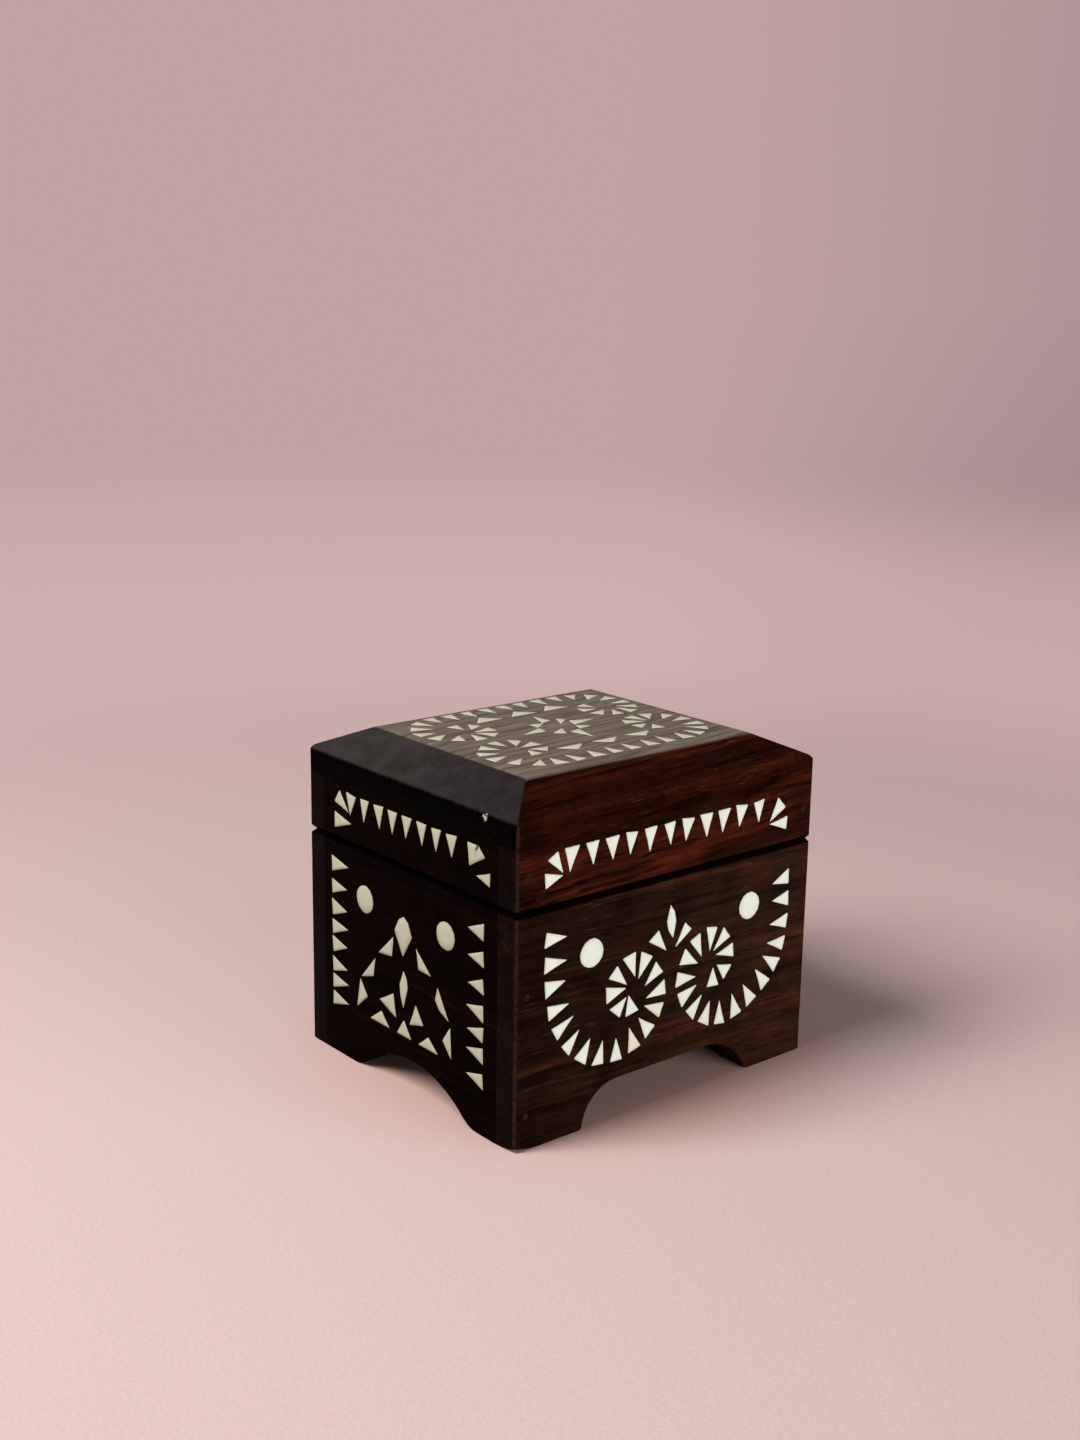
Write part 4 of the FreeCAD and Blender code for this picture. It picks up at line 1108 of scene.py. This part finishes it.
WOOD = {
    # The front panel's ends: painted light, brighter towards its right end.
    "front_panel": RosewoodFinish(Grain.ALONG_X, shift=11.0, redness=0.55,
                                  ends=(0.8, 2.1), end_grain=0.4),
    "back_panel": RosewoodFinish(Grain.ALONG_X, shift=310.0, redness=0.3, end_grain=0.15),
    "left_panel": RosewoodFinish(Grain.ALONG_Y, shift=520.0, **BLACKENED_AND_SHADED),
    "right_panel": RosewoodFinish(Grain.ALONG_Y, shift=730.0, redness=0.4),
    "bottom_board": RosewoodFinish(Grain.ALONG_X, shift=940.0, wear_and_highlight=0.2, gloss=0.5),
    **{f"{corner}_glue_block": RosewoodFinish(Grain.ALONG_X, shift=shift, gloss=0.5)
       for corner, shift in (("front_left", 1010.0), ("front_right", 1040.0),
                             ("back_left", 1070.0), ("back_right", 1100.0))},
    "lid_front_rail": RosewoodFinish(Grain.ALONG_X, shift=77.0, redness=0.6, tilt=-0.05,
                                     end_grain=0.12, **LID_TONES),
    "lid_back_rail": RosewoodFinish(Grain.ALONG_X, shift=1170.0, redness=0.5,
                                    end_grain=0.12, **LID_TONES),
    "lid_left_rail": RosewoodFinish(Grain.ALONG_Y, shift=1290.0, **BLACKENED_AND_SHADED),
    "lid_right_rail": RosewoodFinish(Grain.ALONG_Y, shift=1410.0, redness=0.45),
    "top_board": LidTopFinish(Grain.ALONG_X, shift=1530.0, redness=0.45, tilt=-0.05,
                              gloss=0.40, ior=1.05, **LID_TONES),
}
METAL = {
    "old_brass": (BrassFinish(), ("left_hinge_body_leaf", "left_hinge_lid_leaf", "left_hinge_pin",
                                  "right_hinge_body_leaf", "right_hinge_lid_leaf",
                                  "right_hinge_pin", "body_hinge_screws", "lid_hinge_screws")),
    "browned_nail": (NailFinish(), ("front_panel_nails", "back_panel_nails", "lid_front_nails",
                                    "lid_back_nails")),
}
# The bone of the ends and of the top is yellower and darker than that of the front and the back;
# the left end's is darker still, as painted shade.
BONE = {
    Side.FRONT: BoneFinish(),
    Side.BACK: BoneFinish(),
    Side.LEFT: BoneFinish((0.46, 0.465, 0.345), (0.45, 0.42, 0.28), crack=(-51.0, -29.0, 73.9)),
    Side.RIGHT: BoneFinish((0.60, 0.60, 0.46), (0.57, 0.53, 0.37)),
    Side.TOP: BoneFinish((0.60, 0.60, 0.48), (0.58, 0.53, 0.38)),
}
INLAY = (
    (Side.FRONT, "body", ("front_left_scroll", "front_right_scroll", "front_crown",
                          "front_dots")),
    (Side.BACK, "body", ("back_left_scroll", "back_right_scroll", "back_crown", "back_dots")),
    (Side.LEFT, "body", ("left_columns", "left_figure", "left_dots")),
    (Side.RIGHT, "body", ("right_columns", "right_figure", "right_dots")),
    (Side.FRONT, "lid", ("lid_front_teeth",)),
    (Side.BACK, "lid", ("lid_back_teeth",)),
    (Side.LEFT, "lid", ("lid_left_teeth",)),
    (Side.RIGHT, "lid", ("lid_right_teeth",)),
    (Side.TOP, "lid", ("top_front_band", "top_back_band", "top_flat_triangles", "top_star")),
)
LININGS = (
    FeltLining("floor_lining", "body", 1, "laid", "bottom_board"),
    FeltLining("lid_lining", "lid", -1, "stretched", "top_board"),
)


def dress_all() -> None:
    """Give the boards and the metal their finishes, cut the bone and lay the felt."""
    for node, finish in WOOD.items():
        dress(node, finish.build(node + "_rosewood"))
    for name, (finish, nodes) in METAL.items():
        metal = finish.build(name)
        for node in nodes:
            dress(node, metal)
    bones = {side: finish.build(side.name.lower() + "_bone") for side, finish in BONE.items()}
    for side, body, nodes in INLAY:
        for node in nodes:
            InlayGroup(node, side, body).build(bones[side])
    felt = FeltFinish().build("wool_felt")
    for sheet in LININGS:
        sheet.build(felt)


# ---------------------------------------------------------------- studio


def heading(azimuth: float, elevation: float) -> Vector:
    """The direction from the box to something that stands round it.

    Args:
        azimuth: Its direction in degrees; 0 is in front of the box and 90 to its right.
        elevation: Its height over the horizon in degrees.

    Returns:
        The direction, one unit long.
    """
    turn, lift = math.radians(azimuth), math.radians(elevation)
    return Vector((math.sin(turn) * math.cos(lift), -math.cos(turn) * math.cos(lift),
                   math.sin(lift)))


@dataclass(frozen=True)
class SoftBox:
    """A rectangular area lamp aimed at the box.

    Attributes:
        name: The lamp's name.
        azimuth: Where it stands, as in heading().
        elevation: Its height over the horizon, in degrees.
        distance: Its distance from the box, in metres.
        width: Its width, in metres.
        height: Its height, in metres.
        power: Its power in watts.
        colour: Its colour.
    """

    name: str
    azimuth: float
    elevation: float
    distance: float
    width: float
    height: float
    power: float
    colour: Colour = (1.0, 1.0, 1.0)

    def place(self, aim: Vector) -> bpy.types.Object:
        """Hang the lamp.

        Args:
            aim: The point that it is turned to.

        Returns:
            The lamp's object.
        """
        back = heading(self.azimuth, self.elevation)
        lamp = bpy.data.lights.new(self.name, "AREA")
        lamp.shape = "RECTANGLE"
        lamp.size = self.width
        lamp.size_y = self.height
        lamp.energy = self.power
        lamp.color = self.colour
        made = bpy.data.objects.new(self.name, lamp)
        bpy.context.scene.collection.objects.link(made)
        made.location = aim + back * self.distance
        made.rotation_mode = "QUATERNION"
        made.rotation_quaternion = (-back).to_track_quat("-Z", "Y")
        made.visible_camera = False
        made.visible_glossy = False
        return made


@dataclass
class Studio:
    """A pale pink table and backdrop with soft lamps, and the camera.

    Attributes:
        table: Colour of the table round the box.
        warm: Colour painted on the table under the box as the reddish light that the red wood
            throws there.
        warm_reach: Distances between which that colour fades, in metres.
        foot: Colour of the backdrop where it leaves the table.
        backdrop: Colour of the backdrop far behind.
        shaded: How much darker its right end is.
        rightward: The level direction towards that end.
        fill: Strength of the even light from everywhere.
        fill_colour: Colour of the even light.
        turning: Distances between which the table turns into the backdrop, in metres.
        climbing: Distances between which the backdrop's foot turns into its far colour.
        lens: Focal length for a 36 mm sensor along the long side.
        camera_spot: Where the camera stands, in metres.
        camera_azimuth: The direction that it looks from, in degrees.
        camera_elevation: Its height over the horizon, in degrees.
        camera_roll: Its lean, in degrees.
        lamps: The soft lamps.
        aim: The point that they are turned to, in metres.
    """

    table: Colour = (0.72, 0.565, 0.54)
    warm: Colour = (0.72, 0.47, 0.40)
    warm_reach: tuple[float, float] = (0.035, 0.09)
    foot: Colour = (0.624, 0.440, 0.429)
    backdrop: Colour = (0.525, 0.366, 0.376)
    shaded: float = 0.72
    rightward: Point = (0.7665, -0.642, 0.0)
    fill: float = 0.12
    fill_colour: Colour = (1.0, 0.54, 0.57)
    turning: tuple[float, float] = (0.16, 0.52)
    climbing: tuple[float, float] = (0.5, 1.7)
    lens: float = 45.08
    camera_spot: Point = (-0.3038, -0.3536, 0.2075)
    camera_azimuth: float = -39.956
    camera_elevation: float = 13.887
    camera_roll: float = 0.93
    lamps: tuple[SoftBox, ...] = (
        SoftBox("left_window", -104.0, 48.5, 1.0, 0.44, 0.62, 11.4, (0.98, 0.98, 0.96)),
        SoftBox("front_screen", 12.0, 8.0, 1.3, 1.3, 0.34, 14.2, (0.94, 1.0, 1.0)),
    )
    aim: Point = (0.0, 0.0, 0.045)

    def backdrop_colour(self, graph: Graph, direction: Socket, depth: Input) -> Socket:
        """The backdrop's colour in a direction: darker towards its right end.

        Args:
            graph: The tree to add to.
            direction: The direction from the box.
            depth: 0 at the backdrop's foot and 1 far behind.

        Returns:
            The colour's socket.
        """
        right = graph.node("VectorMath", {0: direction, 1: self.rightward},
                           operation="DOT_PRODUCT").outputs["Value"]
        level = graph.rise(right, 0.03, 0.42, 1.0, self.shaded)
        level = graph.blend(graph.rise(depth, 0.0, 1.0, 0.35, 1.0), (1.0, 1.0, 1.0), level)
        return graph.shade(graph.blend(depth, self.foot, self.backdrop), level)

    def seen(self, graph: Graph) -> Socket:
        """1 for the rays that show a background: the camera's, mirrored and passed ones."""
        path = graph.node("LightPath")
        shown = graph.math("MAXIMUM", path.outputs["Is Camera Ray"],
                           path.outputs["Is Glossy Ray"])
        return graph.math("MAXIMUM", shown, path.outputs["Is Transmission Ray"])

    def lay_table(self) -> None:
        """The table: a disc of rings whose radius grows evenly in proportion."""
        turns = np.linspace(0.0, 2.0 * np.pi, 96, endpoint=False)
        radii = np.geomspace(0.02, 12.0, 40)
        ring = np.stack([np.cos(turns), np.sin(turns), np.zeros_like(turns)], axis=1)
        points = (radii[:, None, None] * ring).reshape(-1, 3)
        points = np.concatenate([points, np.zeros((1, 3))])
        numbers = np.arange(len(turns))
        fan = np.stack([np.full(len(turns), len(points) - 1), numbers,
                        (numbers + 1) % len(turns)], axis=1)
        quads = grid_quads(len(radii), len(turns), True)
        table = write_mesh("table", points, quads[:, ::-1], fan)
        graph = Graph.of_material("pink_paper")
        place = graph.node("TexCoord").outputs["Object"]
        distance = graph.node("VectorMath", {0: place}, operation="LENGTH").outputs["Value"]
        direction = graph.node("VectorMath", {0: place}, operation="NORMALIZE").outputs[0]
        tooth = graph.noise(place, scale=1100.0, detail=2.0)
        paper = graph.blend(graph.rise(tooth, 0.35, 0.65, 0.0, 0.45), self.table,
                            scaled(self.table, 0.85))
        # Painted reddish bounce light on the table under the box.
        under = graph.rise(distance, *self.warm_reach, 1.0, 0.0)
        paper = graph.blend(under, paper, self.warm)
        lit = graph.node("BsdfDiffuse", {"Color": paper})
        depth = graph.rise(distance, *self.climbing)
        glow = graph.node("Emission", {"Color": self.backdrop_colour(graph, direction, depth)})
        share = graph.times(graph.rise(distance, *self.turning), self.seen(graph))
        mixed = graph.node("MixShader", {0: share, 1: lit.outputs[0], 2: glow.outputs[0]})
        graph.end("OutputMaterial", mixed)
        table.data.materials.append(graph.owner)

    def hang_backdrop(self) -> None:
        """The world: the backdrop's colour where it is seen, and an even light elsewhere."""
        world = bpy.data.worlds.new("backdrop")
        bpy.context.scene.world = world
        graph = Graph(world)
        direction = graph.node("TexCoord").outputs["Generated"]
        shown = graph.node("Background",
                           {"Color": self.backdrop_colour(graph, direction, 1.0)})
        light = graph.node("Background", {"Color": self.fill_colour, "Strength": self.fill})
        mixed = graph.node("MixShader", {0: self.seen(graph), 1: light.outputs[0],
                                         2: shown.outputs[0]})
        graph.end("OutputWorld", mixed)

    def set_camera(self) -> None:
        """The camera: its back direction comes from its azimuth and elevation."""
        data = bpy.data.cameras.new("camera")
        data.lens = self.lens
        data.sensor_width = 36.0
        data.clip_start = 0.01
        made = bpy.data.objects.new("camera", data)
        bpy.context.scene.collection.objects.link(made)
        back = heading(self.camera_azimuth, self.camera_elevation)
        right = Vector((0, 0, 1)).cross(back).normalized()
        up = back.cross(right)
        lean = math.radians(self.camera_roll)
        leaning = math.cos(lean) * right + math.sin(lean) * up
        raised = math.cos(lean) * up - math.sin(lean) * right
        made.matrix_world = (Matrix.Translation(self.camera_spot)
                             @ Matrix((leaning, raised, back)).transposed().to_4x4())
        bpy.context.scene.camera = made

    def build(self) -> None:
        """Set up the table, the backdrop, the lamps and the camera."""
        self.lay_table()
        self.hang_backdrop()
        for lamp in self.lamps:
            lamp.place(Vector(self.aim))
        self.set_camera()
        bpy.context.scene.view_settings.view_transform = "Standard"


def main() -> None:
    """Build the looks in order."""
    logging.basicConfig(level=logging.INFO, format="%(name)s: %(message)s")
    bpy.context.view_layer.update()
    Studio().build()
    dress_all()


if __name__ == "__main__":
    main()
